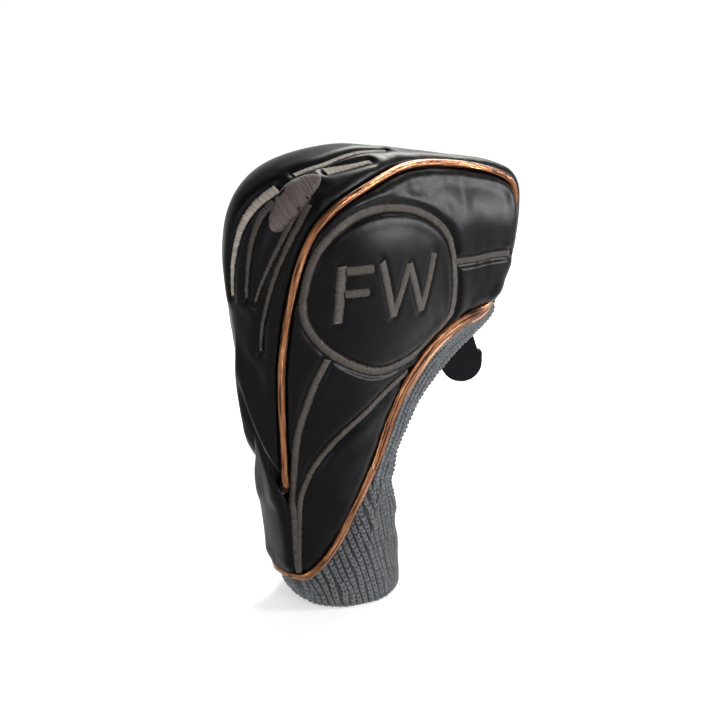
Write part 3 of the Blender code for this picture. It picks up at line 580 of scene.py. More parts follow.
FINE = 3  # fine cells for each cell of the cloth that is simulated
CELL = 0.95
PANEL_START, PANEL_STOP = 0.06, LAST - 0.04
SIDE_COLS, WING_COLS, CROWN_COLS = 38 * FINE, 10 * FINE, 32 * FINE


def whole_cells(values):
    """Station numbers respaced so that the rows divide evenly into the cloth's cells."""
    count = max((len(values) - 1) // FINE, 1) * FINE
    return np.interp(np.linspace(0, len(values) - 1, count + 1), np.arange(len(values)), values)


below = whole_cells(even_stations(PANEL_START, PIPING_END, CELL))
above = whole_cells(even_stations(PIPING_END, PANEL_STOP, CELL))
side_rows = np.concatenate([below, above[1:]])
side_cols = np.linspace(0.004, 1, SIDE_COLS + 1)

main_grid = side(side_rows[:, None], side_cols[None, :])
wing_cols = np.linspace(-1, 0, WING_COLS + 1)[1:]
wing_top = 0.75 * smooth_step(wing_cols, -1.0, -0.25)
wing_rows = below[:, None] + wing_top[None, :] * smooth_step(below, 2.0, PIPING_END)[:, None]
wing_grid = band(wing_rows, np.broadcast_to(wing_cols[None, :], wing_rows.shape))
low_rows = np.concatenate([main_grid[: len(below)], wing_grid], axis=1)
fold_rows = 1 - smooth_step(below, 2.7, 3.9)
for n, share in enumerate(fold_rows):
    if share > 0:
        fold_reach = min(5.5, 0.25 * abs(low_rows[n, -1, 2] - low_rows[n, 0, 2]) + 2.4)
        eased = eased_row(low_rows[n], fold_reach * (0.35 + 0.65 * smooth_step(below[n], 0.0, 2.2)))
        eased[-1, 1] = 0.0
        eased[0] = low_rows[n, 0]
        low_rows[n] += (eased - low_rows[n]) * share
main_grid[: len(below)] = low_rows[:, : SIDE_COLS + 1]
wing_grid = low_rows[:, SIDE_COLS + 1:]

side_plain = tree_from(main_grid.reshape(-1, 3), grid_faces(*main_grid.shape[:2]))
side_laid = np.vstack([
    side_places(along_line(smooth_line(route, 8, closed), 1.0, closed)[0])
    for _, route, closed, _, _ in SIDE_STITCHES])
letter_laid = side_places(np.vstack([
    along_line(np.array([a, b], float), 1.0)[0] for a, b, _ in LETTER_STROKES]))
crown_laid = [crown_places(along_line(smooth_line(p, 10), 0.02)[0]) for p, *_ in TRAILS]

seam_fine = side(np.linspace(PIPING_END, LAST, 900), 1.0)
both_seams = np.vstack([seam_fine, seam_fine * MIRROR])
hem_fine = side(np.linspace(0.0, LAST, 900), 0.0)


def sunk(distance, depth, near, far):
    """A hollow of this depth as far as near, gone at far."""
    return -depth * (1 - smooth_step(distance, near, far))


def swollen(distance, size, middle, spread):
    """A soft roll of this size, highest at the middle distance."""
    return size * np.exp(-(((distance - middle) / spread) ** 2))


def furrow(distance, half, depth, pillow, roll=4.0):
    """Height of padded leather beside a stitched line: a sunk bed with a soft roll at its edge."""
    return sunk(distance, depth, half + 0.1, half + 2.6) + swollen(distance - half, pillow, roll, 3.2)


def puckers(points, distance, reach, size, pitch, seed):
    """Small gathers that run square to a seam and die away from it."""
    across = noise_of(points, pitch, seed)
    return size * across * np.exp(-np.maximum(distance, 0) / reach)


def side_height(points, lettered):
    """How far the side panel's leather stands above its plain outline."""
    seam = distances(tree_of(seam_fine), points)
    hem = distances(tree_of(hem_fine), points)
    lines = distances(tree_of(side_laid), points)
    height = sunk(seam, 2.9, 0.3, 3.4) + swollen(seam, 1.35, 6.0, 4.2)
    height += swollen(hem, 0.5, 9.0, 4.0) + sunk(hem, 0.5, 3.0, 7.0)
    height += furrow(lines, 2.1, 1.0, 0.4)
    if lettered:
        letters = distances(tree_of(letter_laid), points)
        height += furrow(letters, 2.0, 0.55, 0.1, 3.0)
    height += puckers(points, seam, 6.0, 0.5, 5.0, 3.0)
    height += puckers(points, lines - 2.2, 3.5, 0.22, 3.2, 9.0)
    height += puckers(points, hem - 4.0, 5.0, 0.35, 6.0, 14.0)
    height += 0.35 * noise_of(points, 24.0, 20.0)
    return height


def crown_height(points, rows, cols):
    """How far the crown's leather stands above its plain outline."""
    seam = distances(tree_of(both_seams), points)
    lines = np.full(points.shape[:-1], 99.0)
    trail_depth = np.zeros_like(lines)
    for laid, (_, first, last, _) in zip(crown_laid, TRAILS):
        near = distances(tree_of(laid), points)
        half = (first + last) / 4
        trail_depth = np.minimum(trail_depth, furrow(near, half, 1.1, 0.0))
        lines = np.minimum(lines, near - half)
    height = trail_depth + swollen(lines, 0.55, 4.5, 3.0)
    height += sunk(seam, 2.9, 0.3, 3.6) + swollen(seam, 1.5, 6.5, 4.4)
    edge = (rows - crown_edge(cols)[None, :]) * 20.0
    height += swollen(edge, 3.0, 15.0, 11.0) + sunk(edge, 5.0, -3.0, 14.0)
    height += puckers(points, seam, 6.0, 0.5, 5.5, 33.0)
    height += puckers(points, edge, 9.0, 0.5, 7.0, 37.0)
    height += 0.4 * noise_of(points, 26.0, 41.0)
    return height


# The padding's swelling: pressure, frames and units of the cloth simulation, and its greatest height
PRESSURE, FRAMES, CLOTH_SCALE, MOST_SWELL = 2.5, 16, MM * 10, 1.9
SEWN_HALF = 1.5


def inflate(name, points, pins):
    """Swelling of a panel blown up like the padded cloth it is, held at its pinned points."""
    rows, cols = points.shape[:2]
    mesh = bpy.data.meshes.new(name)
    outward = grid_faces(rows, cols)[:, ::-1]
    mesh.from_pydata((points.reshape(-1, 3) * CLOTH_SCALE).tolist(), [], outward.tolist())
    obj = new_object(name, mesh)
    group = obj.vertex_groups.new(name="sewn")
    flat = pins.reshape(-1)
    for level in np.unique(flat):
        if level > 0:
            group.add(np.nonzero(flat == level)[0].tolist(), float(level), "REPLACE")
    cloth = obj.modifiers.new("cloth", "CLOTH")
    settings = cloth.settings
    settings.quality = 5
    settings.mass = 0.3
    settings.tension_stiffness = settings.compression_stiffness = 14
    settings.shear_stiffness = 8
    settings.bending_stiffness = 3.0
    settings.vertex_group_mass = "sewn"
    settings.shrink_min = -0.012
    settings.use_pressure = True
    settings.uniform_pressure_force = PRESSURE
    settings.effector_weights.gravity = 0.0
    cloth.collision_settings.use_collision = False
    cloth.point_cache.frame_start = 1
    cloth.point_cache.frame_end = FRAMES
    scene = bpy.context.scene
    for number in range(1, FRAMES + 1):
        scene.frame_set(number)
    graph = bpy.context.evaluated_depsgraph_get()
    blown = obj.evaluated_get(graph)
    result = blown.to_mesh()
    moved = np.empty(len(result.vertices) * 3)
    result.vertices.foreach_get("co", moved)
    blown.to_mesh_clear()
    bpy.data.objects.remove(obj)
    scene.frame_set(1)
    moved = moved.reshape(rows, cols, 3) / CLOTH_SCALE - points
    return (moved * grid_normals(points)).sum(axis=-1)


def finer(values, rows, cols):
    """A coarse grid of heights spread over a grid that is FINE times finer."""
    r = np.arange(rows) / FINE
    c = np.arange(cols) / FINE
    i = np.minimum(r.astype(int), values.shape[0] - 2)
    j = np.minimum(c.astype(int), values.shape[1] - 2)
    a, b = (r - i)[:, None], (c - j)[None, :]
    low = values[i][:, j] * (1 - b) + values[i][:, j + 1] * b
    high = values[i + 1][:, j] * (1 - b) + values[i + 1][:, j + 1] * b
    return low * (1 - a) + high * a


def evened(values, passes):
    """Heights of a grid averaged with their neighbours."""
    for _ in range(passes):
        wide = np.pad(values, 1, mode="edge")
        beside = wide[:-2, 1:-1] + wide[2:, 1:-1] + wide[1:-1, :-2] + wide[1:-1, 2:]
        values = (values * 2 + beside) / 6
    return values


def padded_grid(name, points, sewn):
    """Adds the swelling of the padding to a grid of points."""
    coarse = points[::FINE, ::FINE]
    pins = np.round(sewn[::FINE, ::FINE], 1)
    swell = inflate(name, coarse, pins)
    swell = MOST_SWELL * np.tanh(np.maximum(swell, 0) / MOST_SWELL)
    swell = evened(swell * (1 - pins), 3)
    fine = evened(finer(swell, *points.shape[:2]), 3)
    return points + grid_normals(points) * fine[..., None]


def near_lines(points, lines):
    """1 on a sewn line, 0 away from it."""
    return 1 - smooth_step(distances(tree_of(np.vstack(lines)), points), SEWN_HALF, SEWN_HALF + 2.0)


def build_side(lettered):
    """Leather of one side panel, on its front place, with its wing round the heel."""
    sewn = near_lines(main_grid, [side_laid, seam_fine, hem_fine])
    sewn[:, 0] = sewn[0] = sewn[-1] = 1.0
    sewn[: len(below), -1] = 1.0
    main = padded_grid("side_cloth", main_grid, sewn)
    low = np.concatenate([main[: len(below)], wing_grid], axis=1)
    up = grid_normals(main)
    low_up = grid_normals(low)
    up[: len(below) - 1] = low_up[:-1, : SIDE_COLS + 1]
    height = side_height(main, lettered)
    seam_open = smooth_step(side_rows, 3.75, 4.1)
    wing_height = side_height(wing_grid, lettered)
    wing_height -= 2.2 * smooth_step(wing_rows - crown_edge(wing_cols)[None, :], -0.4, 0.1)
    tuck = 2.2 * smooth_step(below - crown_edge(-1.0), -0.4, 0.1)[:, None]
    near_wing = smooth_step(np.arange(SIDE_COLS + 1), SIDE_COLS - 8, SIDE_COLS)
    height[: len(below)] -= tuck * near_wing[None, :] * (1 - seam_open[: len(below), None])
    main = main + up * height[..., None]
    wing_up = low_up[:, SIDE_COLS + 1:]
    wing_up[:, -1, 1] = 0.0
    wing = wing_grid + unit(wing_up) * wing_height[..., None]
    wing[..., 1] = np.minimum(wing[..., 1], 0.0)
    points = np.vstack([main.reshape(-1, 3), wing.reshape(-1, 3)])
    return points, panel_faces(*main.shape[:2], len(below), WING_COLS)


def panel_faces(rows, cols, low, wing):
    """Faces of a side panel's main grid and of the wing that goes on from its seam edge."""
    index = np.zeros((low, wing + 1), int)
    index[:, 0] = np.arange(low) * cols + cols - 1
    index[:, 1:] = rows * cols + np.arange(low * wing).reshape(low, wing)
    wing_faces = np.stack([index[:-1, :-1], index[:-1, 1:], index[1:, 1:], index[1:, :-1]], axis=-1)
    return np.vstack([grid_faces(rows, cols), wing_faces.reshape(-1, 4)])


def thicken(obj, thickness):
    """Gives a sheet its real thickness, inwards."""
    solid = obj.modifiers.new("thickness", "SOLIDIFY")
    solid.thickness = thickness * MM
    solid.offset = -1.0
    return obj


front_points, side_faces = build_side(True)
front_leather = add_mesh("front_leather", front_points, side_faces[:, ::-1], leather)
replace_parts(front_leather, "front_panel")
back_points, _ = build_side(False)
back_leather = add_mesh("back_leather", back_points * MIRROR, side_faces, leather)
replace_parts(back_leather, "back_panel")
side_tree = tree_from(front_points, side_faces)
back_tree = tree_from(back_points, side_faces)

crown_cols = np.linspace(-1, 1, CROWN_COLS + 1)
lower = (1 - smooth_step(above, PIPING_END, PIPING_END + 1.6))[:, None]
crown_rows = above[:, None] + (crown_edge(crown_cols)[None, :] - PIPING_END) * lower
crown_grid = band(crown_rows, np.broadcast_to(crown_cols[None, :], crown_rows.shape))
crown_sewn = near_lines(crown_grid, [*crown_laid, both_seams])
crown_sewn[0] = crown_sewn[-1] = 1.0
crown_grid = padded_grid("crown_cloth", crown_grid, crown_sewn)
crown_rise = crown_height(crown_grid, crown_rows, crown_cols)[..., None]
crown_points = (crown_grid + grid_normals(crown_grid) * crown_rise).reshape(-1, 3)
crown_faces = grid_faces(*crown_grid.shape[:2])
crown_leather = add_mesh("crown_leather", crown_points, crown_faces[:, ::-1], leather)
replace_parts(crown_leather, "crown_panel")
crown_tree = tree_from(crown_points, crown_faces)
for piece in (front_leather, back_leather, crown_leather):
    thicken(piece, 1.0)

LEATHER_DEPTH, FOAM_DEPTH = 1.15, 1.5


def foam_layer(name, points, faces, replaced):
    """The padding under a panel; faces point into the cover."""
    corners = points[faces]
    face_normals = np.cross(corners[:, 2] - corners[:, 0], corners[:, 3] - corners[:, 1])
    inward = np.zeros_like(points)
    for n in range(4):
        np.add.at(inward, faces[:, n], face_normals)
    place = points + unit(inward) * LEATHER_DEPTH
    obj = add_mesh(name, place, faces[:, ::-1], foam_mat)
    thicken(obj, FOAM_DEPTH)
    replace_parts(obj, replaced)


def coarse_panel(points):
    """Every third row and column of a side panel, with its faces."""
    count = len(side_rows) * (SIDE_COLS + 1)
    main = points[:count].reshape(len(side_rows), SIDE_COLS + 1, 3)[::FINE, ::FINE]
    wing = points[count:].reshape(len(below), WING_COLS, 3)[::FINE, FINE - 1::FINE]
    faces = panel_faces(*main.shape[:2], *wing.shape[:2])
    return np.vstack([main.reshape(-1, 3), wing.reshape(-1, 3)]), faces


coarse_points, coarse_faces = coarse_panel(front_points)
foam_layer("front_padding", coarse_points, coarse_faces, "front_foam")
coarse_points, coarse_faces = coarse_panel(back_points)
foam_layer("back_padding", coarse_points * MIRROR, coarse_faces[:, ::-1], "back_foam")
crown_coarse = crown_points.reshape(*crown_grid.shape)[3 * FINE:-FINE:FINE, FINE:-FINE:FINE]
foam_layer("crown_padding", crown_coarse.reshape(-1, 3), grid_faces(*crown_coarse.shape[:2]), "crown_foam")

# ---------------------------------------------------------------- satin stitch

ACROSS, SIDES = 7, 6  # rings along a thread, and corners of each ring
PITCH = 0.5


def satin(name, tree, starts, directions, sides, widths, mat, replaced,
          flip=False, plump=0.75, thick=0.30):
    """Threads laid side by side over a padded core: one for each start, square to the line."""
    points, uvs, faces, bed = [], [], [], []
    angles = np.arange(SIDES) * 2 * math.pi / SIDES
    across = np.linspace(-1, 1, ACROSS)
    t = across[:, None]
    for n in range(len(starts)):
        jitter = rng.normal(0, 0.14, 2)
        half = widths[n] / 2
        feet = []
        for end, extra in ((-1, jitter[0]), (0, 0), (1, jitter[1])):
            feet.append(drop(tree, starts[n] + sides[n] * end * (half + extra), directions[n]))
        place = np.array([f[0] for f in feet])
        up = unit(np.array([f[1] for f in feet]).sum(axis=0))
        line = place[1] + (place[2] - place[0]) / 2 * t + (place[2] + place[0] - 2 * place[1]) / 2 * t**2
        rise = plump * (1 - np.abs(t) ** 2.6) - 0.12 + rng.normal(0, 0.06)
        line = line + up * rise
        tangent = unit(np.gradient(line, axis=0))
        along = unit(np.cross(tangent, up))
        over = np.cross(along, tangent)
        radius = thick * np.clip(1.15 - np.abs(across) ** 6 * 0.55, 0.3, 1.2)[:, None, None]
        circle = np.cos(angles)[None, :, None] * over[:, None] + np.sin(angles)[None, :, None] * along[:, None]
        points.append((line[:, None] + circle * radius).reshape(-1, 3))
        length = (t + 1) * half
        uvs.append(np.stack(np.broadcast_arrays(length, angles[None, :] * 0.3), axis=-1).reshape(-1, 2))
        faces += tube_faces(ACROSS, SIDES, n * ACROSS * SIDES)
        bed.append(np.stack([place[0] - up * 0.1, place[1] + up * (plump * 0.55), place[2] - up * 0.1]))
    points, bed = np.vstack(points), np.array(bed)
    if flip:
        points, bed = points * MIRROR, bed * MIRROR
    obj = add_mesh(name, points, faces, mat, np.vstack(uvs))
    face_out(obj)
    if replaced:
        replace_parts(obj, replaced)
    return bed


def under_stitch(name, bed, mat):
    """The padding that satin threads are laid over, seen only between them; it is coloured darker than its
    thread as painted shade in the gaps.
    """
    thicken(add_mesh(name, bed.reshape(-1, 3), grid_faces(len(bed), 3), mat), 0.25)


def side_satin(name, tree, route, widths, replaced, closed=False, flip=False):
    """Satin stitch along a route of the side view, its threads square to the leather."""
    line, gone = along_line(smooth_line(route, 10, closed), PITCH, closed)
    laid = side_places(line)
    up = np.array([side_plain.find_nearest(Vector(p))[1] for p in laid])
    up *= -np.sign(up[:, 1:2])
    for _ in range(12):
        near = np.roll(up, 1, axis=0) + np.roll(up, -1, axis=0)
        if not closed:
            near[0], near[-1] = up[0] + up[1], up[-1] + up[-2]
        up = unit(near + up)
    if closed:
        ahead = unit(np.roll(laid, -1, axis=0) - np.roll(laid, 1, axis=0))
    else:
        ahead = unit(np.gradient(laid, axis=0))
    sides = unit(unit(np.cross(ahead, up)) + ahead * 0.12)
    spread = np.interp(gone, (0, gone[-1]), widths)
    bed = satin(name, tree, laid + up * 9, -up, sides, spread, taupe, replaced, flip)
    under_stitch(name + "_core", bed, taupe_padding_shade)


def build_side_embroidery():
    for label, tree, flip in (("front", side_tree, False), ("back", back_tree, True)):
        for line, route, closed, *widths in SIDE_STITCHES:
            name = f"{label}_{line}"
            side_satin(name + "_thread", tree, route, widths, name + "_stitch", closed, flip)
    for number, (first, last, width) in enumerate(LETTER_STROKES):
        letter, stroke = ("letter_f", number) if number < 3 else ("letter_w", number - 3)
        side_satin(f"{letter}_thread_{stroke}", side_tree, (first, last), (width, width),
                   letter if stroke == 0 else None)


build_side_embroidery()


def crown_satin(name, route, first, last, mat, core, replaced):
    """Satin stitch along a route of the crown, its threads square to the leather."""
    line = smooth_line(route, 24)
    gone = gone_along(crown_places(line))
    places = np.linspace(0, gone[-1], int(gone[-1] / PITCH) + 1)
    line = at_places(line, gone, places)
    laid = crown_places(line)
    up = normal_of(band, line[:, 0], -(1 - line[:, 1]))
    ahead = unit(np.gradient(laid, axis=0))
    sides = unit(unit(np.cross(ahead, up)) + ahead * 0.15)
    widths = np.interp(places, (0, gone[-1]), (first, last))
    bed = satin(name, crown_tree, laid + up * 25, -up, sides, widths, mat, replaced)
    under_stitch(name + "_core", bed, core)


def build_crown_embroidery():
    for number, (route, first, last, colour) in enumerate(TRAILS, start=1):
        mat, core = (cream, cream_padding_shade) if colour == "cream" else (taupe, taupe_padding_shade)
        crown_satin(f"crown_trail_thread_{number}", route, first, last, mat, core,
                    f"crown_trail_{number}")
    t = np.linspace(-0.985, 0.985, 60)
    station = EMBLEM_AT[0] + EMBLEM_LONG / 2 * t
    half = EMBLEM_WIDE / 2 * np.sqrt(1 - t * t)
    low, middle, high = (
        crown_places(np.stack([station, EMBLEM_AT[1] + half * end], axis=1)) for end in (-1, 0, 1))
    up = normal_of(band, station, EMBLEM_AT[1] - 1)
    bed = satin("crown_emblem_thread", crown_tree, middle + up * 25, -up, unit(high - low),
                np.linalg.norm(high - low, axis=1), plum, "crown_emblem", plump=0.7, thick=0.34)
    # The emblem's core takes the dark taupe underlay: painted shade between the plum threads.
    under_stitch("crown_emblem_core", bed, taupe_padding_shade)


build_crown_embroidery()

# ---------------------------------------------------------------- copper piping and binding

def trim_rings(centres, down, across, section, wrinkle, seed):
    """Rings of a trim's section along a line; its film is creased along and across."""
    places = gone_along(centres)
    count = len(section)
    turn = np.linspace(0, 1, count, endpoint=False)
    middle = section.mean(axis=0)
    rings, uv = [], []
    for n, place in enumerate(places):
        creased = []
        for i, (a, b) in enumerate(section):
            long_crease = noise.noise(Vector((place / 26.0, turn[i] * 11.0, seed)))
            short_crease = noise.noise(Vector((place / 3.5, turn[i] * 4.0, seed + 8)))
            fine_crease = noise.noise(Vector((place / 1.2, turn[i] * 9.0, seed + 19)))
            grow = 1 + wrinkle * (1.2 * long_crease + 0.4 * short_crease + 0.12 * fine_crease)
            creased.append(middle + (np.array((a, b)) - middle) * grow)
        creased = np.array(creased)
        rings.append(centres[n] + across[n] * creased[:, :1] - down[n] * creased[:, 1:])
        uv.append(np.stack([np.full(count, place), turn * 10.0], axis=1))
    return np.array(rings), np.array(uv).reshape(-1, 2)


def film(name, rings, uv):
    """A capped length of copper trim through rings of points."""
    obj = add_mesh(name, rings.reshape(-1, 3), tube_faces(*rings.shape[:2]), copper, uv)
    face_out(obj)
    return obj


PIPING_RADIUS, PIPING_CORNERS = 1.9, 22


def build_piping(name, node, flip, seed):
    """Piping in a seam; it thins and dives under the panels where it starts."""
    k = even_stations(PIPING_END - 0.03, PIPING_STOP, 0.6)
    seam = side(k, 1.0)
    down = -unit(normal_of(side, k, 1.0) + normal_of(band, k, -1.0))
    along = unit(np.gradient(seam, axis=0))
    across = unit(np.cross(along, down))
    down = unit(np.cross(across, along))
    centre = seam - down * 1.0
    angles = np.arange(PIPING_CORNERS) * 2 * math.pi / PIPING_CORNERS
    section = np.stack([np.cos(angles) * PIPING_RADIUS, np.sin(angles) * PIPING_RADIUS], axis=1)
    rings, uv = trim_rings(centre, down, across, section, 0.09, seed)
    start = np.arange(len(k))[:, None, None]
    rings = centre[:, None] + (rings - centre[:, None]) * (0.45 + 0.55 * smooth_step(start, -3, 7))
    rings += down[:, None] * 1.8 * (1 - smooth_step(start, 0, 9))
    if flip:
        rings = rings * MIRROR
    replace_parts(film(name, rings, uv), node)


build_piping("front_piping_film", "front_piping", False, 2.0)
build_piping("back_piping_film", "back_piping", True, 5.0)


def hem_line():
    """The whole hem loop: points, directions into the panel and out of it, toe to heel and back."""
    def end_part(surface, edge_at, inner_at, up_at, across):
        edge = surface(edge_at, across)
        return edge, unit(surface(inner_at, across) - edge), normal_of(surface, up_at, across)

    toe = end_part(band, TOE_END, LAST - 0.3, LAST - 0.3, np.linspace(0, -1, 14)[:-1])
    corner = end_part(side, TOE_END, LAST - 0.3, LAST - 0.3, np.linspace(1, 0, 9)[:-1])
    heel = end_part(band, HEEL_END, 0.4, 0.3, np.linspace(-1, 0, 12)[1:])
    fine = np.linspace(TOE_END, HEEL_END, 1500)
    gone = gone_along(side(fine, 0.0))
    k = np.interp(np.arange(0, gone[-1], 0.7), gone, fine)
    edge = side(k, 0.0)
    along = unit(np.gradient(edge, axis=0))
    edge_in = unit(side(k, 0.06) - edge)
    edge_in = unit(edge_in - along * (edge_in * along).sum(axis=1, keepdims=True))
    front = (edge, edge_in, normal_of(side, k, 0.02))
    points, into, up = [
        np.vstack([a, (a * MIRROR)[-2:0:-1]]) for a in map(np.vstack, zip(toe, corner, front, heel))]
    tight = smooth_step(points[:, 0], 52, 60) + 1 - smooth_step(points[:, 0], -59, -54)
    for n in range(70):
        share = tight[:, None] if n > 5 else 1.0
        points, into, up = [
            a + ((np.roll(a, 1, axis=0) + np.roll(a, -1, axis=0)) / 2 - a) * share / 2
            for a in (points, into, up)]
        into, up = unit(into), unit(up)
    return points, into, up


# Sections of the folded strip, (into the leather, outwards): roll, lip on the knit side, then its inside
UPPER_ROLL = (
    (3.9, -0.9), (4.1, 0.5), (3.6, 1.4), (2.9, 1.75), (2.3, 1.4), (1.7, 2.05), (0.9, 2.4), (0.2, 2.3),
    (-0.2, 1.85), (-0.7, 2.35), (-1.4, 2.4), (-2.0, 2.1), (-2.4, 1.45),
)
UPPER_LIP = ((-2.7, 1.85), (-3.4, 2.3), (-4.1, 2.4), (-4.6, 2.05), (-4.6, 1.6), (-4.0, 1.2))
LOWER_ROLL = (
    (3.3, -0.9), (3.5, 0.4), (3.0, 1.2), (2.3, 1.6), (1.5, 1.75), (0.8, 1.6), (0.2, 1.2), (-0.1, 0.95),
)
LOWER_LIP = ((-0.5, 1.35), (-1.2, 1.65), (-1.9, 1.6), (-2.5, 1.2), (-2.4, 0.7), (-1.6, 0.3))
INSIDE = (
    (-1.0, -0.5), (-0.4, -1.8), (0.2, -4.0), (0.8, -4.6), (3.4, -4.6), (3.4, -3.6), (1.2, -3.6), (1.2, -1.2),
)


LAP_STATION = 5.95  # where the upper and the lower length of the binding overlap


def build_binding():
    """The folded strip round the opening, in an upper and a lower length with a lap between them."""
    points, into, up = hem_line()
    size = len(points)
    lap = int(np.argmin(np.linalg.norm(points - side(LAP_STATION, 0.0), axis=1)))
    back_lap = size - lap
    upper = list(range(lap, -1, -1)) + list(range(size - 1, back_lap - 1, -1))
    lower = list(range(lap - 6, back_lap + 7))
    for name, order, roll, lip, lift, seed in (
        ("binding_upper_film", upper[::-1], UPPER_ROLL, UPPER_LIP, 0.5, 31.0),
        ("binding_lower_film", lower, LOWER_ROLL, LOWER_LIP, 0.0, 47.0),
    ):
        order = np.array(order)
        section = np.array(roll + lip + INSIDE)
        centres = points[order] + up[order] * lift
        rings, uv = trim_rings(centres, -up[order], into[order], section, 0.05, seed)
        if lift:
            end = np.minimum(np.arange(len(order)), np.arange(len(order))[::-1])
            close = smooth_step(end, -1.5, 3.0)[:, None, None]
            middle = rings.mean(axis=1, keepdims=True)
            rings = middle + (rings - middle) * (0.72 + 0.28 * close)
        tight = smooth_step(centres[:, 0], 54, 66) + 1 - smooth_step(centres[:, 0], -60, -50)
        small = (1 - 0.38 * np.clip(tight, 0, 1))[:, None, None]
        rings = centres[:, None] + (rings - centres[:, None]) * small
        piece = film(name, rings, uv)
        lip_faces(piece, len(section), len(roll) - 1, len(roll) + len(lip) - 1)
        if name == "binding_upper_film":
            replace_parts(piece, "hem_binding")


def lip_faces(piece, around, first, last):
    """Gives the knit-side lip of the binding its paler film."""
    piece.data.materials.append(copper_pale)
    for polygon in piece.data.polygons:
        places = sorted(v % around for v in polygon.vertices)
        if len(places) == 4 and first <= places[0] and places[-1] <= last:
            polygon.material_index = 1


build_binding()

# ---------------------------------------------------------------- knit neck

# Front half of its surface from toe (0) to heel (1): where each line leaves the hem (station), then its points.
SOCK_LINES = (
    (0.00, 18.0, (
        (74, 0, 141), (50, 0, 127), (25, 0, 108), (6, 0, 77), (-1, 0, 46), (5, 0, 18), (6.5, 0, 0))),
    (0.15, 17.0, (
        (66, -10, 142), (44, -12, 127), (22, -12, 108), (4.5, -12, 77), (0.5, -12.5, 46), (4, -13, 18),
        (4.5, -13, 0))),
    (0.30, 13.2, (
        (40, -15, 136), (27, -15.5, 120), (12.5, -16, 102), (-1.5, -16.5, 75), (-6, -18.5, 46),
        (-3.5, -21, 18), (-3, -21.5, 0))),
    (0.45, 9.2, (
        (6, -19.5, 107), (2.5, -20, 95), (-2.5, -20.5, 82), (-10, -21, 63), (-16, -22.5, 42),
        (-14.5, -26, 18), (-12.5, -27.5, 0))),
    (0.60, 6.2, (
        (-12, -20.5, 71), (-14, -21, 62), (-17, -21.5, 52), (-21, -23, 40), (-24, -26, 28), (-24, -29, 12),
        (-22, -29, 0))),
    (0.80, 3.0, (
        (-32, -20, 33), (-34, -21.5, 28), (-36, -23, 23), (-38, -25, 17.5), (-40, -26, 12), (-40, -26, 6),
        (-38.5, -25, 0))),
    (0.92, 1.1, (
        (-51, -17.5, 14.5), (-51, -18.5, 12), (-51, -19, 9.5), (-50.5, -19, 7), (-50, -18.5, 4.5),
        (-49, -17.5, 2), (-48, -16.5, 0))),
    (1.00, 0.0, (
        (-61, 0, 14.5), (-60.5, 0, 12), (-59.5, 0, 9.5), (-58, 0, 7), (-56, 0, 4.5), (-53.5, 0, 2),
        (-51.5, 0, 0))),
)
LINE_PLACES = np.array([line[0] for line in SOCK_LINES])
LINE_POINTS = np.array([line[2] for line in SOCK_LINES], float)
LINE_STATIONS = np.array([line[1] for line in SOCK_LINES])


def sock_path(place):
    """One line of the front half of the sock, from under the binding to the floor."""
    flat_points = LINE_POINTS.reshape(len(LINE_PLACES), -1)
    points = smooth_rows(flat_points, LINE_PLACES, place).reshape(LINE_POINTS.shape[1:])
    station = np.interp(place, LINE_PLACES, LINE_STATIONS)
    if place < 0.15:
        k = TOE_END
        w = -place / 0.15 * 0.98
        hem = band(k, w) if place < 0.1 else (band(k, -0.98) + side(17.2, 0.0)) / 2
        into = unit(band(LAST - 0.4, w) - band(k, w))
        up = normal_of(band, np.array([LAST - 0.3]), np.array([w]))[0]
    elif place > 0.97:
        hem = band(HEEL_END, -(1 - (place - 0.92) / 0.08) * 0.9)
        into, up = unit(band(0.5, 0.0) - band(HEEL_END, 0.0)), np.array((-1.0, 0.0, 0.2))
    else:
        k = np.array([min(max(station, 0.3), 17.6)])
        hem = side(k, 0.0)[0]
        into = unit(side(k, 0.06) - side(k, 0.0))[0]
        up = normal_of(side, k, np.array([0.02]))[0]
    lead = np.array([hem + into * 1.5 - up * (SHELL_DEPTH * 0.45), hem - into * 1.2 - up * 1.7])
    return np.vstack([lead, points])


SOCK_ROWS = 90


def sock_grid(count):
    """Points and outward normals of the sock's surface: rows from hem to floor, columns round it."""
    half = []
    for i in range(count + 1):
        line = along_line(smooth_line(sock_path(i / count), 12), 1.0)[0]
        gone = gone_along(line)
        half.append(at_places(line, gone, np.linspace(0, gone[-1], SOCK_ROWS)))
    for end in (0, -1):
        half[end][:, 1] = 0.0
    grid = np.array(half + [line * MIRROR for line in reversed(half[1:-1])]).transpose(1, 0, 2)
    for _ in range(3):
        grid = (np.roll(grid, 1, axis=1) + 2 * grid + np.roll(grid, -1, axis=1)) / 4
    normals = sock_normals(grid)
    x, y, z = grid[..., 0], grid[..., 1], grid[..., 2]
    low = 1 - smooth_step(z, 52, 62)
    toe_side = smooth_step(x, -14, 0)
    height = toe_side * (swollen(z, 2.6, 45, 7) - swollen(z, 1.8, 60, 4.5))
    slanted = noise_of(np.stack([(x + 0.75 * z) / 9.0, y / 16.0, (z - x) / 34.0], axis=-1), 1.0, 60.0)
    height += 1.5 * slanted * low * smooth_step(z, 1, 9) + 0.7 * noise_of(grid, 17.0, 66.0)
    start = np.minimum(1, np.linspace(0, 7, SOCK_ROWS))[:, None]
    grid = grid + normals * ((height - 0.9) * start)[..., None]
    return grid, sock_normals(grid)


def sock_normals(grid):
    ring = np.roll(grid, -1, axis=1) - np.roll(grid, 1, axis=1)
    normals = unit(np.cross(ring, np.gradient(grid, axis=0)))
    return normals * np.sign(((grid - grid.mean(axis=1, keepdims=True)) * normals).sum())


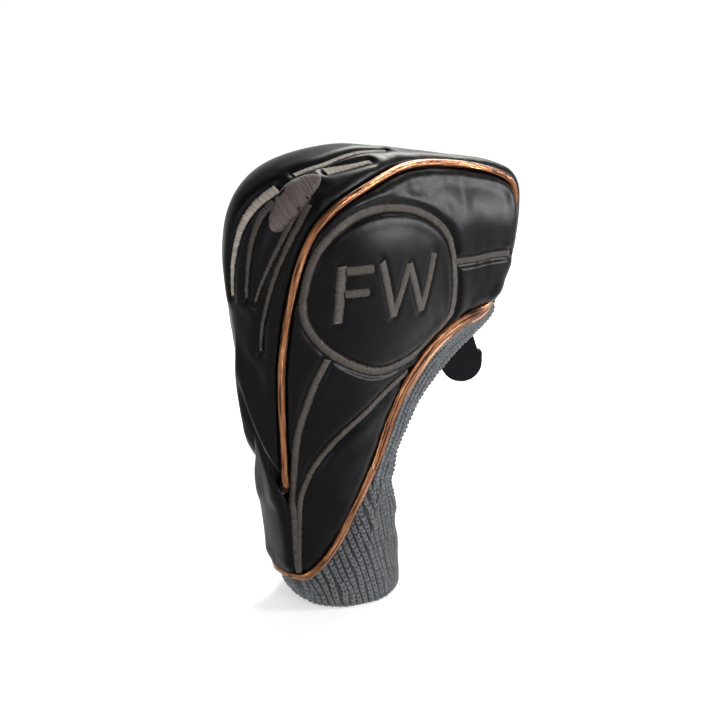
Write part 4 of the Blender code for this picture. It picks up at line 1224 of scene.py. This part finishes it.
# Ribs: those of the neck run along the hem and are given by points; the others leave the hem and fan out.
NECK_RIBS = (
    (0, (
        (74.5, 0, 151), (73, 0, 141), (56, 0, 127), (36, 0, 114), (19, 0, 99), (8, 0, 78), (0, 0, 58),
        (-1, 0, 44), (4, 0, 20))),
    (3, (
        (70, -8, 150), (66, -9, 141), (53, -11, 131), (31, -12, 118), (15, -12, 102), (4.5, -12, 80),
        (-2, -12, 60), (1, -12, 44), (4, -13, 20))),
    (6, (
        (66, -11.5, 149), (64.5, -11.5, 144), (49.5, -14, 136), (26.5, -16, 124), (9.5, -18, 106),
        (-1.5, -18, 84), (-9, -18.5, 63), (-6, -19, 43), (-2, -20, 20))),
    (9, (
        (64, -12.5, 148), (62, -12.5, 146), (47.5, -14.5, 141), (23, -18, 129.5), (4.5, -20.3, 110),
        (-7.3, -21, 86.7), (-15.8, -21, 65), (-12.5, -22.5, 44), (-8, -24, 20))),
)
# Ribs of half the sock; the last of the neck and of the side panel; the neck's share of the hem's girth
RIBS_HALF, NECK_LAST, SIDE_LAST, NECK_SHARE = 28, 9, 25, 0.26
RIB_STATIONS = ((9.6, 5.6), (13, 4.2), (16, 3.1), (19, 2.2), (22, 1.2), (25, 0.3))
COURSE = 2.45


def laid_on(surface, line):
    return np.array([surface.find_nearest(Vector(p))[0] for p in line])


def rib_lines(grid):
    """Where every rib of the front half runs, from under the binding to the floor."""
    surface = tree_from(grid.reshape(-1, 3), grid_faces(*grid.shape[:2], wrap=True))
    half = grid.shape[1] // 2
    base = grid[-1, : half + 1]
    gone = gone_along(base)
    numbers = np.array([n for n, _ in NECK_RIBS])
    neck = np.array([p for _, p in NECK_RIBS], float)
    stations = np.array(RIB_STATIONS)
    lines = []
    for n in range(RIBS_HALF + 1):
        if n <= NECK_LAST:
            share = n / NECK_LAST * NECK_SHARE
        else:
            share = NECK_SHARE + (n - NECK_LAST) / (RIBS_HALF - NECK_LAST) * (1 - NECK_SHARE)
        foot = at_places(base, gone, [share * gone[-1]])[0]
        if n <= NECK_LAST:
            route = np.stack([
                [np.interp(n, numbers, neck[:, i, j]) for j in range(3)] for i in range(neck.shape[1])])
            route = np.vstack([route, foot])
        else:
            if n <= SIDE_LAST:
                k = np.array([float(np.interp(n, stations[:, 0], stations[:, 1]))])
                hem = side(k, 0.0)[0]
                into = unit(side(k, 0.06) - side(k, 0.0))[0]
            else:
                w = -1 + (n - SIDE_LAST) / (RIBS_HALF - SIDE_LAST)
                hem, into = band(HEEL_END, w), np.array((0.0, 0.0, 1.0))
            top = hem - into * 1.8
            middle = (top + foot) / 2 + np.array((0.0, -2.5, 0.0))
            route = np.array([top, middle, foot])
        line = along_line(smooth_line(route, 16), 0.8)[0]
        for _ in range(2):
            line = laid_on(surface, line)
            line[1:-1] = (line[:-2] + 2 * line[1:-1] + line[2:]) / 4
        line = laid_on(surface, along_line(line, 0.8)[0])
        if n in (0, RIBS_HALF):
            line[:, 1] = 0.0
        lines.append(line)
    return lines


def rib_stitches(line, neighbours, flat_normals, cells):
    """Starts, ends and sizes of the two legs of every stitch of a rib, and of the bar beside it."""
    gone = gone_along(line)
    line, gone = line[::-1], gone[-1] - gone[::-1]
    gone = gone - gone[0]
    places = np.arange(0.7, gone[-1] - 0.4, COURSE) + rng.normal(0, 0.1)

    def at(where):
        return at_places(line, gone, where)

    middle = at(places)
    up = np.array([flat_normals[cells.find(p)[1]] for p in middle])
    along = unit(at(places + 0.8) - at(places - 0.8))
    across = unit(np.cross(along, up))
    halves = []
    for tree in neighbours:
        gap = np.array([(np.array(tree.find(p)[0]) - p) for p in middle])
        halves.append(np.clip(np.linalg.norm(gap, axis=1) / 2, 0.95, 2.25))
    left, right = halves
    wobble = rng.normal(0, 0.12, (len(places), 1))
    next_middle = at(np.minimum(places + COURSE, gone[-1])) + along * wobble
    middle = middle + along * wobble
    pieces = []
    for half, sign in ((left, -1), (right, 1)):
        start = middle + across * (half * 0.10 * sign)[:, None] + up * 0.45
        end = next_middle + across * (half * 0.54 * sign)[:, None] + up * 0.60
        pieces.append((start, end, half * 0.40))
    start = middle + along * (COURSE * 0.3) + across * (right * 0.55)[:, None] + up * -0.05
    end = start + across * (right * 0.95)[:, None]
    return pieces, (start, end, np.clip(right * 0.26, 0.3, 0.55))


def build_knit():
    """The gathered neck: a ground coloured dark as painted shade between the loops, and the yarn of its ribs
    and of the bars between them.
    """
    grid, normals = sock_grid(72)
    shell = grid.copy()
    shell[-3:, :, 2] = np.maximum(shell[-3:, :, 2], np.array([2.2, 1.5, 1.1])[:, None])
    base = np.concatenate([shell, shell[-1:] - normals[-1:] * 2.4, shell[-2:-1] - normals[-2:-1] * 3.2,
                           shell[-12:-11] - normals[-12:-11] * 2.6])
    base[-3:, :, 2] = np.maximum(base[-3:, :, 2], 1.3)
    # The ground shows only between the loops; its dark colour is painted shade.
    piece = add_mesh("knit_ground", base.reshape(-1, 3), grid_faces(*base.shape[:2], wrap=True),
                     knit_gap_shade)
    face_out(piece)
    thicken(piece, 0.6)
    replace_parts(piece, "knit_sock")

    front = rib_lines(grid)
    cells = tree_of(grid.reshape(-1, 3))
    flat_normals = normals.reshape(-1, 3)
    ribs = front + [line * MIRROR for line in reversed(front[1:-1])]
    trees = [tree_of(line) for line in ribs]
    legs = {"front": [], "back": []}
    bars = []
    for n, line in enumerate(ribs):
        beside = (trees[(n - 1) % len(ribs)], trees[(n + 1) % len(ribs)])
        pieces, bar = rib_stitches(line, beside, flat_normals, cells)
        legs["front" if n <= RIBS_HALF else "back"] += pieces
        bars.append(bar)
    yarns = [yarn_piece(f"knit_loops_{key}", rows, flat_normals, cells, 0.42) for key, rows in legs.items()]
    yarns.append(yarn_piece("knit_purls", bars, flat_normals, cells, -0.2))


def yarn_piece(name, rows, flat_normals, cells, bulge):
    """Short lengths of yarn, each swelling in its middle."""
    starts = np.vstack([r[0] for r in rows])
    ends = np.vstack([r[1] for r in rows])
    radius = np.concatenate([r[2] for r in rows])
    middle = (starts + ends) / 2
    up = np.array([flat_normals[cells.find(m)[1]] for m in middle])
    axis = ends - starts
    along = unit(axis)
    out = unit(up - along * (up * along).sum(axis=1, keepdims=True))
    cross = np.cross(along, out)
    t = np.array((0.0, 0.16, 0.5, 0.84, 1.0))
    size = np.array((0.5, 0.9, 1.0, 0.9, 0.5))
    rings, corners = len(t), 6
    each = rings * corners
    angles = np.arange(corners) * 2 * math.pi / corners
    line = starts[:, None] + axis[:, None] * t[None, :, None]
    line = line + out[:, None] * (np.sin(math.pi * t) * bulge)[None, :, None]
    circle = np.cos(angles)[:, None] * out[:, None] + np.sin(angles)[:, None] * cross[:, None]
    thick = radius * rng.normal(1, 0.06, len(starts))
    points = line[:, :, None] + circle[:, None] * size[None, :, None, None] * thick[:, None, None, None]
    firsts = np.arange(len(starts)) * each
    faces = (grid_faces(rings, corners, wrap=True)[None] + firsts[:, None, None]).reshape(-1, 4).tolist()
    for first in firsts.tolist():
        faces.append([first + i for i in range(corners)][::-1])
        faces.append([first + each - corners + i for i in range(corners)])
    length = np.linalg.norm(axis, axis=1)[:, None, None] * t[None, :, None]
    uv = np.stack(np.broadcast_arrays(length, (angles[None, :] * radius[:, None])[:, None]), axis=-1)
    points = points.reshape(-1, 3)
    points[:, 2] = np.maximum(points[:, 2], 0.0)
    obj = add_mesh(name, points, faces, yarn, uv.reshape(-1, 2))
    face_out(obj)
    return obj


build_knit()

# ---------------------------------------------------------------- pieces kept from the CAD

def dress(node, mat):
    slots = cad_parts[node].data.materials
    slots.clear()
    slots.append(mat)


for node, mat in (
    ("front_lining", lining_mat), ("back_lining", lining_mat), ("crown_lining", lining_mat),
    ("neck_elastic", elastic_mat), ("tag_loop", webbing_mat), ("tag_front_plate", tag_plastic),
    ("tag_back_plate", tag_plastic), ("number_dial", dial_plastic), ("tag_rivet", rivet_metal),
):
    dress(node, mat)

# ---------------------------------------------------------------- floor and light

WORLD_BACK, WORLD_FRONT = 1.03, 0.31
FLOOR_NEAR, FLOOR_FAR, FLOOR_RADIUS = 0.50, 0.72, 30


def build_stage():
    mesh = bpy.data.meshes.new("floor")
    angles = np.linspace(0, 2 * math.pi, 64, endpoint=False)
    ring = [(FLOOR_RADIUS * math.cos(a), FLOOR_RADIUS * math.sin(a), 0.0) for a in angles]
    mesh.from_pydata(ring, [], [list(range(64))])
    mat, tree, shader = new_material("pale_floor")
    set_inputs(shader, Base_Color=(0.6, 0.6, 0.6, 1), Roughness=0.95, Specular_IOR_Level=0.05,
               Emission_Color=(1, 1, 1, 1))
    away = add_node(tree, "ShaderNodeVectorMath", operation="LENGTH")
    tree.links.new(object_place(tree), away.inputs[0])
    glow = add_node(tree, "ShaderNodeMapRange", From_Min=0.3, From_Max=1.8, To_Min=FLOOR_NEAR, To_Max=FLOOR_FAR)
    tree.links.new(away.outputs["Value"], glow.inputs["Value"])
    tree.links.new(glow.outputs["Result"], shader.inputs["Emission Strength"])
    mesh.materials.append(mat)
    new_object("floor", mesh)


def area_light(name, place, target, size, power, colour=(1, 1, 1), tall=None):
    data = bpy.data.lights.new(name, "AREA")
    data.shape = "RECTANGLE"
    data.size, data.size_y = size, tall or size
    data.energy = power
    data.color = colour
    light = new_object(name, data)
    light.location = place
    light.rotation_euler = (Vector(place) - Vector(target)).to_track_quat("Z", "Y").to_euler()


def build_world():
    """A white studio behind the object and a dimmer one in front of it."""
    world = bpy.context.scene.world or bpy.data.worlds.new("world")
    bpy.context.scene.world = world
    world.use_nodes = True
    tree = world.node_tree
    background = tree.nodes["Background"]
    background.inputs["Color"].default_value = (1.0, 1.0, 1.0, 1)
    direction = tree.nodes.new("ShaderNodeTexCoord").outputs["Generated"]
    behind = add_node(tree, "ShaderNodeVectorMath", operation="DOT_PRODUCT")
    tree.links.new(direction, behind.inputs[0])
    behind.inputs[1].default_value = (-math.sin(AZIMUTH), math.cos(AZIMUTH), 0.0)
    level = add_node(
        tree, "ShaderNodeMapRange", From_Min=0.25, From_Max=0.8, To_Min=WORLD_FRONT, To_Max=WORLD_BACK)
    tree.links.new(behind.outputs["Value"], level.inputs["Value"])
    height = tree.nodes.new("ShaderNodeSeparateXYZ")
    tree.links.new(direction, height.inputs["Vector"])
    horizon = add_node(tree, "ShaderNodeMapRange", From_Min=0.04, From_Max=0.5, To_Min=WORLD_BACK)
    tree.links.new(height.outputs["Z"], horizon.inputs["Value"])
    tree.links.new(level.outputs["Result"], horizon.inputs["To Max"])
    tree.links.new(horizon.outputs["Result"], background.inputs["Strength"])


build_stage()
build_world()
area_light("top_key", (0.66, 0.42, 0.98), (0, 0, 0.2), 0.55, 16.0, (1.0, 1.0, 0.94))
area_light("toe_key", (1.02, -0.66, 0.48), (0, 0, 0.17), 0.28, 14.5, (0.97, 0.98, 1.0))
area_light("left_fill", (-1.15, -0.75, 0.45), (0, 0, 0.1), 0.45, 5.0, (0.92, 0.95, 1.0), 0.8)
area_light("front_fill", (0.25, -1.2, 0.75), (0, 0, 0.1), 0.6, 5.0)
